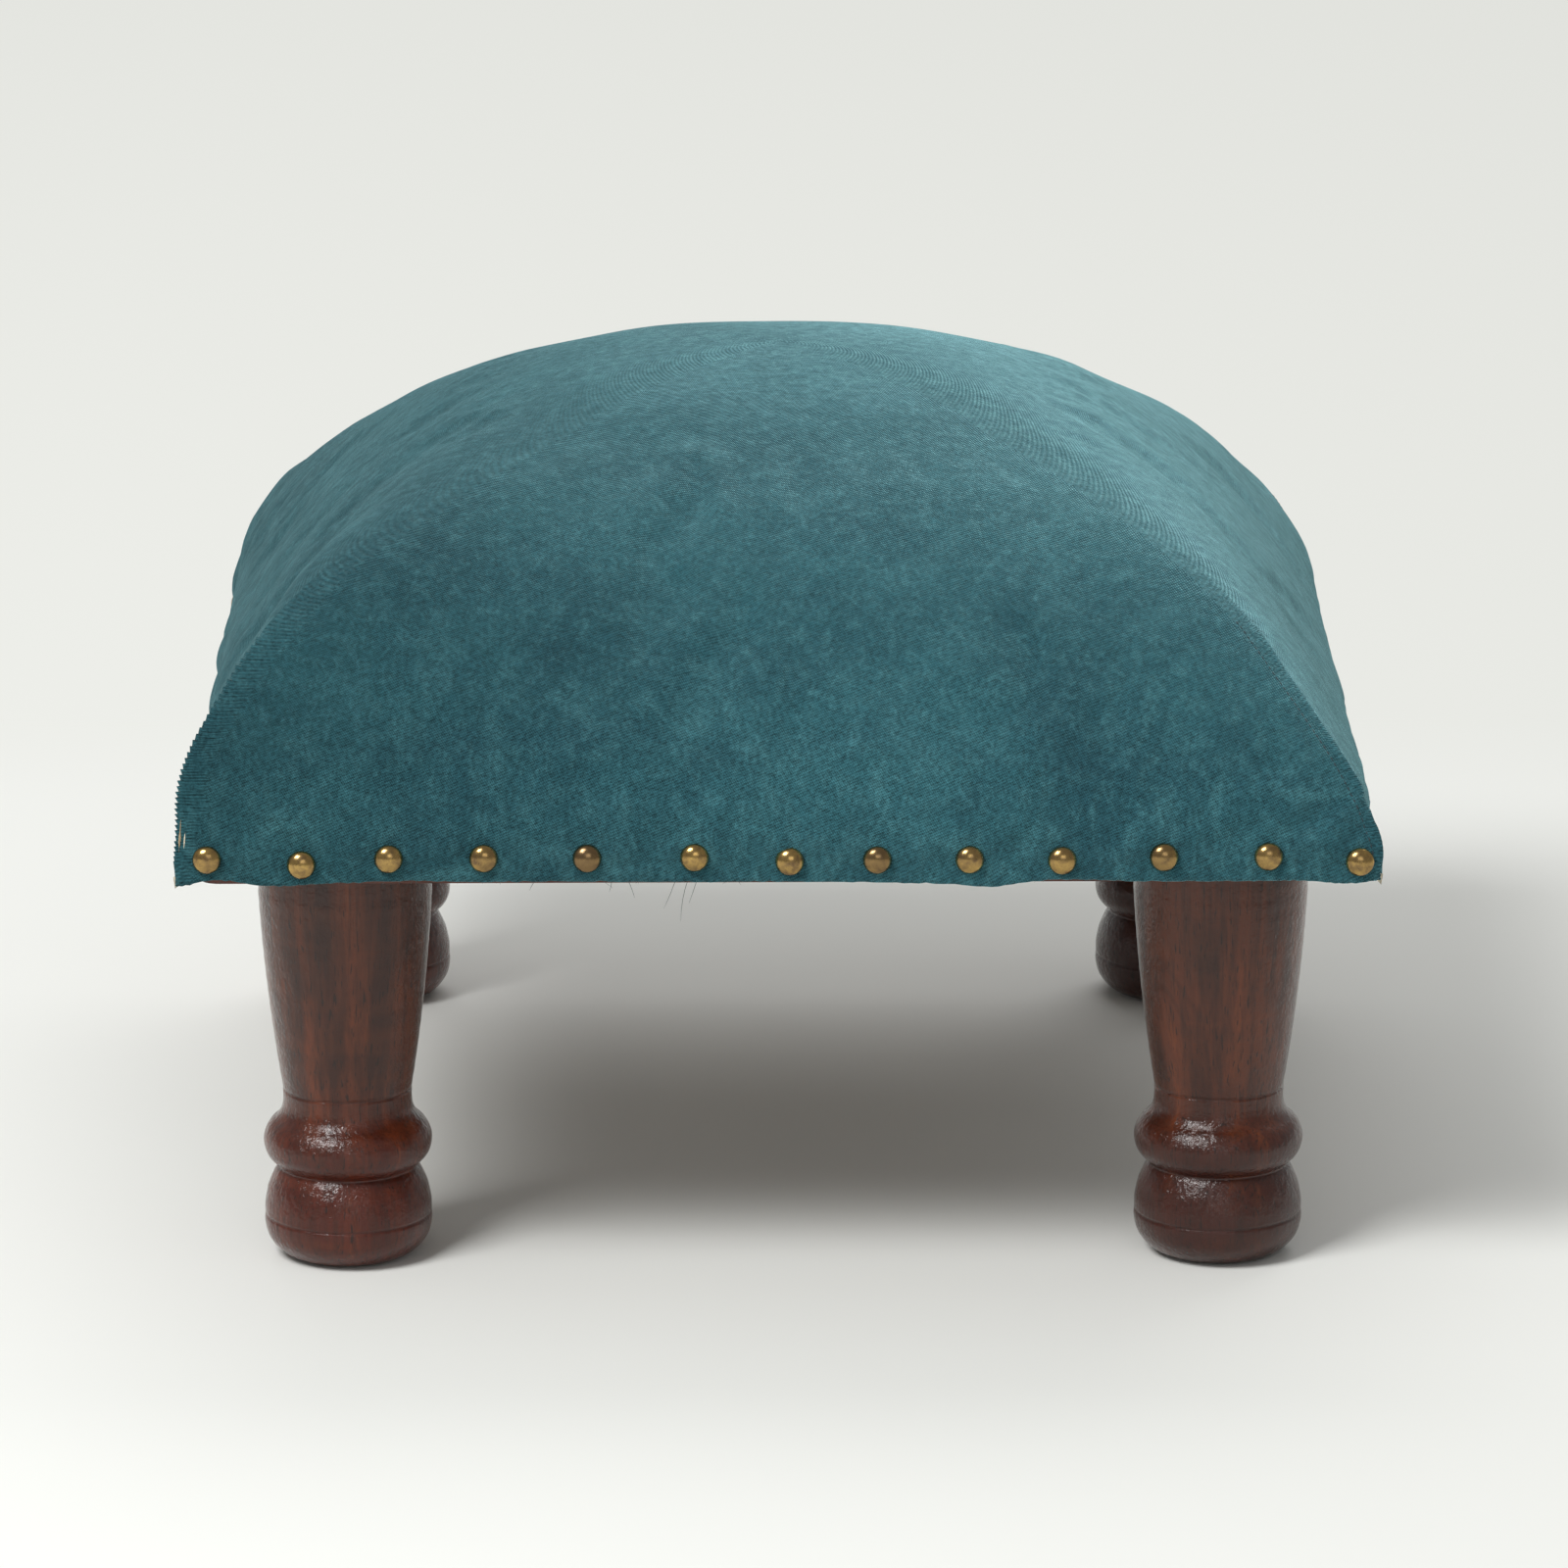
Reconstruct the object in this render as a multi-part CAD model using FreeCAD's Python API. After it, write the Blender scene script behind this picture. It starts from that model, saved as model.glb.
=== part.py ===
import FreeCAD, Part
import math
import os

# A low upholstered footstool: four turned legs, a boxed wooden frame, a domed stuffed seat
# and a fabric cover held by a row of domed nails. Millimetres, +X right, +Y to the back,
# +Z up, with the origin on the floor under the middle of the stool.

# Seat, outside the cover
SEAT_WIDTH = 390.0
SEAT_DEPTH = 428.0
CROWN_HEIGHT = 126.0
CROWN_DEPTH_DRAW = 0.2
SKIRT_CORNER_RADIUS = 6.0

# Frame
RAIL_HEIGHT = 24.0
RAIL_THICKNESS = 22.0
RAIL_FACE_HEIGHT = 10.0
RAIL_BEVEL_WIDTH = 10.0
LEG_UNDER_SIDE_RAIL = 5.0
PANEL_THICKNESS = 8.0
PANEL_SETBACK = 11.0
PANEL_CORNER_RADIUS = 8.0
BLOCK_CHAMFER = 8.0

# Layers, from the outside in, and the play left between two of them
COVER_THICKNESS = 1.5
LINING_THICKNESS = 0.8
WADDING_THICKNESS = 8.0
LAYER_GAP = 0.3
HEM_LIFT = 1.0
LINING_HEM_LIFT = 2.5

# Turned leg: heights above the floor and radii of its rings
LEG_LENGTH = 142.0
LEG_TOP_RADIUS = 29.0
LEG_SHOULDER_HEIGHT = 126.0
LEG_TAPER_HEIGHT = 81.0
LEG_TAPER_RADIUS = 24.9
NECK_HEIGHT = 58.0
NECK_RADIUS = 21.6
WAIST_HEIGHT = 54.0
BEAD_TOP_HEIGHT = 47.5
BEAD_TOP_RADIUS = 24.4
BEAD_HEIGHT = 41.5
BEAD_RADIUS = 28.1
BEAD_FOOT_HEIGHT = 32.2
BEAD_FOOT_RADIUS = 24.2
NOTCH_HEIGHT = 31.0
NOTCH_RADIUS = 23.2
BALL_TOP_HEIGHT = 29.8
BALL_TOP_RADIUS = 24.2
BALL_GROOVE_HEIGHT = 14.5
BALL_RADIUS = 28.0
FOOT_RADIUS = 17.5
SCRIBE_WIDTH = 0.9
SCRIBE_DEPTH = 0.5

# Leg fixing
BOLT_DIAMETER = 8.0
BOLT_IN_LEG = 40.0
BOLT_ABOVE_LEG = 20.0
NUT_FLANGE_DIAMETER = 20.0
NUT_FLANGE_THICKNESS = 1.6
NUT_BARREL_DIAMETER = 10.4
NUT_BARREL_LENGTH = 10.0
NUT_PRONGS = 3
NUT_PRONG_WIDTH = 3.0
NUT_PRONG_THICKNESS = 1.2
NUT_PRONG_LENGTH = 5.0

# Screws and dowels
SCREW_DIAMETER = 4.0
SCREW_HEAD_DIAMETER = 8.0
SCREW_HEAD_HEIGHT = 3.2
SCREW_RECESS_WIDTH = 4.2
SCREW_RECESS_SLOT = 0.9
SCREW_RECESS_DEPTH = 1.6
BLOCK_SCREW_LENGTH = 40.0
BLOCK_SCREW_IN_RAIL = 14.0
BLOCK_SCREW_OFFSET = 14.0
BLOCK_SCREW_LOW = 7.5
BLOCK_SCREW_HIGH = 17.5
PANEL_SCREW_LENGTH = 25.0
PANEL_SCREWS_PER_RAIL = 3
PANEL_SCREW_PITCH = 95.0
DOWEL_DIAMETER = 6.0
DOWEL_LENGTH = 30.0
DOWEL_IN_LONG_RAIL = 12.0
DOWEL_FROM_INSIDE = 8.0
DOWEL_HEIGHTS = (8.0, 16.0)
DOWEL_CHAMFER = 0.8
WOOD_FIT = 0.1

# Domed nails along the hem
NAIL_HEAD_DIAMETER = 9.5
NAIL_HEAD_HEIGHT = 3.4
NAIL_SHANK_DIAMETER = 1.6
NAIL_SHANK_LENGTH = 10.0
NAIL_TIP_LENGTH = 2.5
NAIL_HEIGHT = 8.5
NAIL_EDGE_LONG_SIDE = 5.7
NAIL_EDGE_SHORT_SIDE = 20.0
NAILS_LONG_SIDE = 13
NAILS_SHORT_SIDE = 14

# The nails were set by eye: along the rail and up from the line, for each nail in turn
NAIL_DRIFT = (
    (-0.4, 0.5), (-1.0, -1.3), (-3.9, 0.6), (-4.3, 0.7), (-1.9, 0.6), (1.8, 0.8), (1.5, -0.6),
    (-1.3, -0.2), (-2.5, -0.2), (-3.7, -0.6), (-1.8, 0.4), (1.0, 0.5), (-0.5, -1.4), (0.0, 0.3),
)

# Staples that hold the lining
STAPLE_WIDTH = 10.0
STAPLE_WIRE = 0.7
STAPLE_LEG = 8.0
STAPLE_HEIGHT = 5.0
STAPLES_PER_SIDE = 8
STAPLE_END_MARGIN = 45.0

# Shape of the crown, level by level: share of the crown's height, share by which the level
# is drawn in, corner radius as a share of the half width, and how far each side swells out
# beyond its corners as a share of the half width.
CROWN_LEVELS = (
    (0.000, 0.000, 0.030, 0.000),
    (0.050, 0.002, 0.026, 0.012),
    (0.110, 0.010, 0.018, 0.018),
    (0.187, 0.024, 0.016, 0.022),
    (0.260, 0.044, 0.016, 0.024),
    (0.330, 0.073, 0.018, 0.026),
    (0.471, 0.145, 0.022, 0.034),
    (0.613, 0.238, 0.040, 0.045),
    (0.745, 0.354, 0.100, 0.052),
    (0.856, 0.482, 0.230, 0.060),
    (0.938, 0.627, 0.410, 0.066),
    (0.972, 0.748, 0.490, 0.070),
    (0.990, 0.851, 0.528, 0.072),
    (0.998, 0.933, 0.538, 0.072),
    (1.000, 0.975, 0.538, 0.072),
)

# Levels and places that follow from the sizes above
RAIL_TOP = LEG_LENGTH + RAIL_HEIGHT
CROWN_FOOT = LEG_LENGTH + RAIL_FACE_HEIGHT
PANEL_TOP = RAIL_TOP + PANEL_THICKNESS
COVER_HEM = LEG_LENGTH + HEM_LIFT
LINING_HEM = LEG_LENGTH + LINING_HEM_LIFT
LINING_INSET = COVER_THICKNESS + LAYER_GAP
FRAME_INSET = LINING_INSET + LINING_THICKNESS + LAYER_GAP
FOAM_INSET = FRAME_INSET + WADDING_THICKNESS + LAYER_GAP
FRAME_HALF_X = SEAT_WIDTH / 2 - FRAME_INSET
FRAME_HALF_Y = SEAT_DEPTH / 2 - FRAME_INSET
INNER_HALF_X = FRAME_HALF_X - RAIL_THICKNESS
INNER_HALF_Y = FRAME_HALF_Y - RAIL_THICKNESS
PANEL_HALF_X = FRAME_HALF_X - PANEL_SETBACK
PANEL_HALF_Y = FRAME_HALF_Y - PANEL_SETBACK
LEG_X = INNER_HALF_X + LEG_UNDER_SIDE_RAIL - LEG_TOP_RADIUS
LEG_Y = INNER_HALF_Y - LEG_TOP_RADIUS
BLOCK_SIDE = 2 * LEG_TOP_RADIUS

UP = FreeCAD.Vector(0, 0, 1)
ORIGIN = FreeCAD.Vector(0, 0, 0)
CORNERS = (
    ("front_left", -1, -1),
    ("front_right", 1, -1),
    ("back_left", -1, 1),
    ("back_right", 1, 1),
)


def point(x, y, z):
    return FreeCAD.Vector(x, y, z)


def box(low, high):
    """A box between two opposite corners, given in any order."""
    start = [min(a, b) for a, b in zip(low, high)]
    size = [abs(a - b) for a, b in zip(low, high)]
    return Part.makeBox(size[0], size[1], size[2], point(*start))


def line(start, end):
    return Part.LineSegment(start, end).toShape()


def arc(start, middle, end):
    return Part.Arc(start, middle, end).toShape()


def turned(edges):
    """Solid of revolution about Z from edges that close on the axis."""
    face = Part.Face(Part.Wire(edges))
    return face.revolve(ORIGIN, UP, 360)


def moved(shape, place):
    copy = shape.copy()
    copy.translate(place)
    return copy


def aimed(shape, direction, place):
    """Copy of a shape made along +Z, turned to point along direction and set at place."""
    copy = shape.copy()
    turn = FreeCAD.Rotation(UP, direction)
    copy.Placement = FreeCAD.Placement(place, turn)
    return copy


def cut_all(shape, tools):
    return shape.cut(Part.makeCompound(tools))


def save(name, shapes):
    """Write one node; a list of shapes is kept as a group of separate solids."""
    solids = []
    for shape in shapes if isinstance(shapes, list) else [shapes]:
        solids.extend(shape.Solids)
    shape = solids[0] if len(solids) == 1 else Part.makeCompound(solids)
    volume = sum(solid.Volume for solid in solids)
    sound = all(solid.isValid() for solid in solids)
    shape.exportStep(os.path.join("parts", name + ".step"))
    print(f"{name:24s} solids {len(solids):3d}  volume {volume:12.1f}  valid {sound}")


# Cushion layers


def level_outline(half_x, half_y, corner, swell, z):
    """Closed outline of one level: four sides, bowed out by swell, joined by corner arcs."""
    side_x = half_x - swell
    side_y = half_y - swell
    along_x = side_x - corner
    along_y = side_y - corner
    mid_x = along_x + (side_x - along_x) * math.sqrt(0.5)
    mid_y = along_y + (side_y - along_y) * math.sqrt(0.5)

    def side(start, middle, end):
        return arc(start, middle, end) if swell > 0 else line(start, end)

    edges = [
        side(point(-along_x, -side_y, z), point(0, -half_y, z), point(along_x, -side_y, z)),
        arc(point(along_x, -side_y, z), point(mid_x, -mid_y, z), point(side_x, -along_y, z)),
        side(point(side_x, -along_y, z), point(half_x, 0, z), point(side_x, along_y, z)),
        arc(point(side_x, along_y, z), point(mid_x, mid_y, z), point(along_x, side_y, z)),
        side(point(along_x, side_y, z), point(0, half_y, z), point(-along_x, side_y, z)),
        arc(point(-along_x, side_y, z), point(-mid_x, mid_y, z), point(-side_x, along_y, z)),
        side(point(-side_x, along_y, z), point(-half_x, 0, z), point(-side_x, -along_y, z)),
        arc(point(-side_x, -along_y, z), point(-mid_x, -mid_y, z), point(-along_x, -side_y, z)),
    ]
    return Part.Wire(edges)


def crown(inset):
    """The dome above the band of nails, set in from the cover's outside by inset."""
    half_x = SEAT_WIDTH / 2 - inset
    half_y = SEAT_DEPTH / 2 - inset
    height = CROWN_HEIGHT - inset
    base_corner = SKIRT_CORNER_RADIUS / (SEAT_WIDTH / 2)
    spare_corner = base_corner - CROWN_LEVELS[0][2]
    outlines = []
    for rise, draw, corner, swell in CROWN_LEVELS:
        across = half_x * (1 - draw)
        deep = half_y * (1 - draw * (1 + CROWN_DEPTH_DRAW * (1 - draw)))
        radius = (corner + spare_corner * (1 - rise)) * across
        z = CROWN_FOOT + rise * height
        outlines.append(level_outline(across, deep, radius, swell * across, z))
    return Part.makeLoft(outlines, True, False)


def skirt(inset, bottom):
    """The upright band round the rails' outer faces, from bottom up to the crown."""
    half_x = SEAT_WIDTH / 2 - inset
    half_y = SEAT_DEPTH / 2 - inset
    radius = SKIRT_CORNER_RADIUS * half_x / (SEAT_WIDTH / 2)
    outline = level_outline(half_x, half_y, radius, 0, bottom)
    return Part.Face(outline).extrude(UP * (CROWN_FOOT - bottom))


def layer(outer_inset, thickness, bottom):
    """A skin of the given thickness: crown and skirt, open underneath."""
    inner_inset = outer_inset + thickness
    outer = crown(outer_inset).fuse(skirt(outer_inset, bottom))
    inner = crown(inner_inset).fuse(skirt(inner_inset, bottom - 1))
    return outer.cut(inner)


def foam_core():
    below = box((-SEAT_WIDTH, -SEAT_DEPTH, 0), (SEAT_WIDTH, SEAT_DEPTH, PANEL_TOP))
    return crown(FOAM_INSET).cut(below)


def wadding():
    """Soft layer over the foam and over the edge of the panel, down to the rails."""
    below = box((-SEAT_WIDTH, -SEAT_DEPTH, 0), (SEAT_WIDTH, SEAT_DEPTH, RAIL_TOP))
    foam_room = crown(FRAME_INSET + WADDING_THICKNESS)
    return crown(FRAME_INSET).cut(below).cut(foam_room).cut(panel_board(LAYER_GAP))


# Frame


def frame_envelope():
    """Outside of the joined rails: an upright face, then a bevel that draws in to the top."""
    radius = SKIRT_CORNER_RADIUS
    foot = level_outline(FRAME_HALF_X, FRAME_HALF_Y, radius, 0, LEG_LENGTH)
    bevel_foot = level_outline(FRAME_HALF_X, FRAME_HALF_Y, radius, 0, CROWN_FOOT)
    top_x = FRAME_HALF_X - RAIL_BEVEL_WIDTH
    top_y = FRAME_HALF_Y - RAIL_BEVEL_WIDTH
    bevel_top = level_outline(top_x, top_y, radius, 0, RAIL_TOP)
    band = Part.Face(foot).extrude(UP * RAIL_FACE_HEIGHT)
    return band.fuse(Part.makeLoft([bevel_foot, bevel_top], True, True))


def rail(side_x, side_y):
    """Front and back rails run the full width; side rails fit between them."""
    if side_y:
        low = (-FRAME_HALF_X, side_y * INNER_HALF_Y, LEG_LENGTH)
        high = (FRAME_HALF_X, side_y * FRAME_HALF_Y, RAIL_TOP)
    else:
        low = (side_x * INNER_HALF_X, -INNER_HALF_Y, LEG_LENGTH)
        high = (side_x * FRAME_HALF_X, INNER_HALF_Y, RAIL_TOP)
    return box(low, high).common(frame_envelope())


def corner_block(side_x, side_y):
    """Square block in the corner of the rails, its free corner cut off."""
    outer_x = side_x * INNER_HALF_X
    outer_y = side_y * INNER_HALF_Y
    inner_x = outer_x - side_x * BLOCK_SIDE
    inner_y = outer_y - side_y * BLOCK_SIDE
    corners = [
        point(outer_x, outer_y, LEG_LENGTH),
        point(inner_x, outer_y, LEG_LENGTH),
        point(inner_x, inner_y + side_y * BLOCK_CHAMFER, LEG_LENGTH),
        point(inner_x + side_x * BLOCK_CHAMFER, inner_y, LEG_LENGTH),
        point(outer_x, inner_y, LEG_LENGTH),
    ]
    outline = Part.makePolygon(corners + corners[:1])
    return Part.Face(outline).extrude(UP * RAIL_HEIGHT)


def panel_board(extra):
    """Board on top of the rails, its corners rounded; extra widens it for its room."""
    half_x = PANEL_HALF_X + extra
    half_y = PANEL_HALF_Y + extra
    outline = level_outline(half_x, half_y, PANEL_CORNER_RADIUS + extra, 0, RAIL_TOP)
    return Part.Face(outline).extrude(UP * PANEL_THICKNESS)


# Legs and their fixings


def scribe(radius, z):
    """Edges of a fine cut round the turning, from above to below it."""
    high = point(radius, 0, z + SCRIBE_WIDTH / 2)
    deep = point(radius - SCRIBE_DEPTH, 0, z)
    low = point(radius, 0, z - SCRIBE_WIDTH / 2)
    return high, deep, low


def leg():
    """Turned leg: long taper, neck, bead and ball foot, bored for its bolt."""
    top = point(LEG_TOP_RADIUS, 0, LEG_LENGTH)
    shoulder = point(LEG_TOP_RADIUS, 0, LEG_SHOULDER_HEIGHT)
    taper = point(LEG_TAPER_RADIUS, 0, LEG_TAPER_HEIGHT)
    neck_high, neck_deep, neck_low = scribe(NECK_RADIUS, NECK_HEIGHT)
    waist = point(NECK_RADIUS, 0, WAIST_HEIGHT)
    hollow_mid = point(
        NECK_RADIUS + 0.3 * (BEAD_TOP_RADIUS - NECK_RADIUS),
        0,
        WAIST_HEIGHT - 0.6 * (WAIST_HEIGHT - BEAD_TOP_HEIGHT),
    )
    bead_top = point(BEAD_TOP_RADIUS, 0, BEAD_TOP_HEIGHT)
    bead = point(BEAD_RADIUS, 0, BEAD_HEIGHT)
    bead_foot = point(BEAD_FOOT_RADIUS, 0, BEAD_FOOT_HEIGHT)
    notch = point(NOTCH_RADIUS, 0, NOTCH_HEIGHT)
    ball_top = point(BALL_TOP_RADIUS, 0, BALL_TOP_HEIGHT)
    ball_high, ball_deep, ball_low = scribe(BALL_RADIUS, BALL_GROOVE_HEIGHT)
    upper_rise = BALL_TOP_HEIGHT - ball_high.z
    ball_upper = point(
        BALL_RADIUS - 0.2 * (BALL_RADIUS - BALL_TOP_RADIUS),
        0,
        ball_high.z + 0.5 * upper_rise,
    )
    ball_lower = point(
        FOOT_RADIUS + 0.8 * (BALL_RADIUS - FOOT_RADIUS),
        0,
        0.38 * ball_low.z,
    )
    foot = point(FOOT_RADIUS, 0, 0)
    edges = [
        line(point(0, 0, LEG_LENGTH), top),
        line(top, shoulder),
        arc(shoulder, taper, neck_high),
        line(neck_high, neck_deep),
        line(neck_deep, neck_low),
        line(neck_low, waist),
        arc(waist, hollow_mid, bead_top),
        arc(bead_top, bead, bead_foot),
        line(bead_foot, notch),
        line(notch, ball_top),
        arc(ball_top, ball_upper, ball_high),
        line(ball_high, ball_deep),
        line(ball_deep, ball_low),
        arc(ball_low, ball_lower, foot),
        line(foot, ORIGIN),
        line(ORIGIN, point(0, 0, LEG_LENGTH)),
    ]
    bore_radius = BOLT_DIAMETER / 2 + WOOD_FIT
    bore_foot = point(0, 0, LEG_LENGTH - BOLT_IN_LEG)
    bore = Part.makeCylinder(bore_radius, BOLT_IN_LEG + 1, bore_foot)
    return turned(edges).cut(bore)


def hanger_bolt():
    """Headless bolt: wood thread with a point below, machine thread above."""
    radius = BOLT_DIAMETER / 2
    point_length = BOLT_DIAMETER
    low = LEG_LENGTH - BOLT_IN_LEG
    high = LEG_LENGTH + BOLT_ABOVE_LEG
    tip = Part.makeCone(radius / 4, radius, point_length, point(0, 0, low))
    length = high - low - point_length
    rod = Part.makeCylinder(radius, length, point(0, 0, low + point_length))
    return rod.fuse(tip).removeSplitter()


def tee_nut():
    """Flanged nut let into the top of the block, with prongs that bite the wood."""
    barrel_radius = NUT_BARREL_DIAMETER / 2
    flange_low = RAIL_TOP - NUT_FLANGE_THICKNESS
    flange_foot = point(0, 0, flange_low)
    flange = Part.makeCylinder(NUT_FLANGE_DIAMETER / 2, NUT_FLANGE_THICKNESS, flange_foot)
    barrel_foot = point(0, 0, flange_low - NUT_BARREL_LENGTH)
    barrel = Part.makeCylinder(barrel_radius, NUT_BARREL_LENGTH, barrel_foot)
    nut = flange.fuse(barrel)
    prong_out = NUT_FLANGE_DIAMETER / 2 - NUT_PRONG_THICKNESS
    for index in range(NUT_PRONGS):
        prong = box(
            (prong_out - NUT_PRONG_THICKNESS, -NUT_PRONG_WIDTH / 2, flange_low - NUT_PRONG_LENGTH),
            (prong_out, NUT_PRONG_WIDTH / 2, flange_low),
        )
        prong.rotate(ORIGIN, UP, index * 360 / NUT_PRONGS)
        nut = nut.fuse(prong)
    return nut.removeSplitter()


def tee_nut_bore():
    radius = BOLT_DIAMETER / 2 + WOOD_FIT
    return Part.makeCylinder(radius, RAIL_HEIGHT + 2, point(0, 0, LEG_LENGTH - 1))


# Screws, dowels, nails and staples, each made along +Z with its head end at the origin


def screw_body(length, extra):
    """Countersunk wood screw pointing down from its head; extra widens it for its hole."""
    shank = SCREW_DIAMETER / 2 + extra
    head = SCREW_HEAD_DIAMETER / 2 + extra
    end = -length - extra
    tip = SCREW_DIAMETER * 1.5
    corners = [
        ORIGIN,
        point(head, 0, 0),
        point(shank, 0, -SCREW_HEAD_HEIGHT),
        point(shank, 0, end + tip),
        point(0, 0, end),
    ]
    return turned([line(a, b) for a, b in zip(corners, corners[1:] + corners[:1])])


def screw(length):
    reach = SCREW_RECESS_WIDTH / 2
    slot = SCREW_RECESS_SLOT / 2
    one = box((-reach, -slot, -SCREW_RECESS_DEPTH), (reach, slot, 1))
    other = box((-slot, -reach, -SCREW_RECESS_DEPTH), (slot, reach, 1))
    return screw_body(length, 0).cut(one.fuse(other))


def dowel(extra):
    """Round peg along +Z from the origin, its ends eased; extra widens it for its hole."""
    radius = DOWEL_DIAMETER / 2 + extra
    ease = DOWEL_CHAMFER
    corners = [
        point(0, 0, -extra),
        point(radius - ease, 0, -extra),
        point(radius, 0, ease - extra),
        point(radius, 0, DOWEL_LENGTH - ease + extra),
        point(radius - ease, 0, DOWEL_LENGTH + extra),
        point(0, 0, DOWEL_LENGTH + extra),
    ]
    return turned([line(a, b) for a, b in zip(corners, corners[1:] + corners[:1])])


def nail():
    """Domed head above the origin and a pointed shank below it."""
    head = NAIL_HEAD_DIAMETER / 2
    shank = NAIL_SHANK_DIAMETER / 2
    sphere = (head ** 2 + NAIL_HEAD_HEIGHT ** 2) / (2 * NAIL_HEAD_HEIGHT)
    half_angle = math.asin(head / sphere) / 2
    crest = point(0, 0, NAIL_HEAD_HEIGHT)
    halfway = point(
        sphere * math.sin(half_angle),
        0,
        NAIL_HEAD_HEIGHT - sphere + sphere * math.cos(half_angle),
    )
    rim = point(head, 0, 0)
    collar = point(shank, 0, 0)
    waist = point(shank, 0, NAIL_TIP_LENGTH - NAIL_SHANK_LENGTH)
    tip = point(0, 0, -NAIL_SHANK_LENGTH)
    edges = [
        arc(crest, halfway, rim),
        line(rim, collar),
        line(collar, waist),
        line(waist, tip),
        line(tip, crest),
    ]
    return turned(edges)


def nail_hole():
    radius = NAIL_SHANK_DIAMETER / 2 + WOOD_FIT
    depth = NAIL_SHANK_LENGTH + WOOD_FIT
    return Part.makeCylinder(radius, depth + 1, point(0, 0, -depth))


def staple(extra):
    """Staple with its crown's back on the origin plane and its legs pointing down."""
    half = STAPLE_WIDTH / 2 + extra
    wire = STAPLE_WIRE / 2 + extra
    inner = half - 2 * wire
    crown_bar = box((-half, -wire, -STAPLE_WIRE), (half, wire, extra))
    left = box((-half, -wire, -STAPLE_LEG), (-inner, wire, extra))
    right = box((inner, -wire, -STAPLE_LEG), (half, wire, extra))
    return crown_bar.fuse(left).fuse(right).removeSplitter()


# Places of the repeated pieces

SIDES = (
    ("front", point(0, -1, 0), point(1, 0, 0), SEAT_DEPTH / 2, SEAT_WIDTH / 2),
    ("back", point(0, 1, 0), point(-1, 0, 0), SEAT_DEPTH / 2, SEAT_WIDTH / 2),
    ("left", point(-1, 0, 0), point(0, -1, 0), SEAT_WIDTH / 2, SEAT_DEPTH / 2),
    ("right", point(1, 0, 0), point(0, 1, 0), SEAT_WIDTH / 2, SEAT_DEPTH / 2),
)


def nail_places(side):
    """Points on the cover's outside, evenly spread and then moved by each nail's drift."""
    name, outward, along, reach, half_length = side
    runs_long = name in ("front", "back")
    count = NAILS_LONG_SIDE if runs_long else NAILS_SHORT_SIDE
    margin = NAIL_EDGE_LONG_SIDE if runs_long else NAIL_EDGE_SHORT_SIDE
    first = margin - half_length
    pitch = -2 * first / (count - 1)
    places = []
    for index in range(count):
        drift_along, drift_up = NAIL_DRIFT[index % len(NAIL_DRIFT)]
        travel = first + index * pitch + drift_along
        height = LEG_LENGTH + NAIL_HEIGHT + drift_up
        places.append(outward * reach + along * travel + UP * height)
    return places


def staple_places(side):
    """Points on the rail's outside where each staple's crown lies in the lining."""
    _, outward, along, reach, half_length = side
    first = STAPLE_END_MARGIN - half_length
    pitch = -2 * first / (STAPLES_PER_SIDE - 1)
    depth = reach - FRAME_INSET + STAPLE_WIRE
    height = LEG_LENGTH + STAPLE_HEIGHT
    return [
        outward * depth + along * (first + index * pitch) + UP * height
        for index in range(STAPLES_PER_SIDE)
    ]


def staples_on(side, extra):
    """Staples on one side, each with its crown lying along the rail."""
    _, outward, along, _, _ = side
    turn = FreeCAD.Rotation(along, UP, outward, "ZXY")
    shapes = []
    for place in staple_places(side):
        shape = staple(extra)
        shape.Placement = FreeCAD.Placement(place, turn)
        shapes.append(shape)
    return shapes


def panel_screw_places():
    """Screw points on the panel, midway over its bearing on every rail."""
    line_x = (INNER_HALF_X + PANEL_HALF_X) / 2
    line_y = (INNER_HALF_Y + PANEL_HALF_Y) / 2
    places = []
    for index in range(PANEL_SCREWS_PER_RAIL):
        travel = (index - (PANEL_SCREWS_PER_RAIL - 1) / 2) * PANEL_SCREW_PITCH
        for sign in (-1, 1):
            places.append(point(travel, sign * line_y, PANEL_TOP))
            places.append(point(sign * line_x, travel, PANEL_TOP))
    return places


def block_screw_places():
    """Two screws to each block, driven outward from a deep hole into each rail."""
    places = []
    head_back = BLOCK_SCREW_LENGTH - BLOCK_SCREW_IN_RAIL
    for _, side_x, side_y in CORNERS:
        near_x = side_x * (LEG_X - BLOCK_SCREW_OFFSET)
        near_y = side_y * (LEG_Y - BLOCK_SCREW_OFFSET)
        head_x = side_x * (INNER_HALF_X - head_back)
        head_y = side_y * (INNER_HALF_Y - head_back)
        low = LEG_LENGTH + BLOCK_SCREW_LOW
        high = LEG_LENGTH + BLOCK_SCREW_HIGH
        places.append((point(head_x, near_y, low), point(-side_x, 0, 0)))
        places.append((point(near_x, head_y, high), point(0, -side_y, 0)))
    return places


def block_screw_hole():
    """Room for one screw and, behind its head, for the driver."""
    way_in = BLOCK_SIDE
    radius = SCREW_HEAD_DIAMETER / 2 + WOOD_FIT
    return screw_body(BLOCK_SCREW_LENGTH, WOOD_FIT).fuse(Part.makeCylinder(radius, way_in))


def dowels(extra):
    """Two pegs at each corner, from the long rail into the end of the side rail."""
    line_x = INNER_HALF_X + DOWEL_FROM_INSIDE
    shapes = []
    for _, side_x, side_y in CORNERS:
        for rise in DOWEL_HEIGHTS:
            start_y = side_y * (INNER_HALF_Y + DOWEL_IN_LONG_RAIL)
            place = point(side_x * line_x, start_y, LEG_LENGTH + rise)
            shapes.append(aimed(dowel(extra), point(0, -side_y, 0), place))
    return shapes


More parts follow.
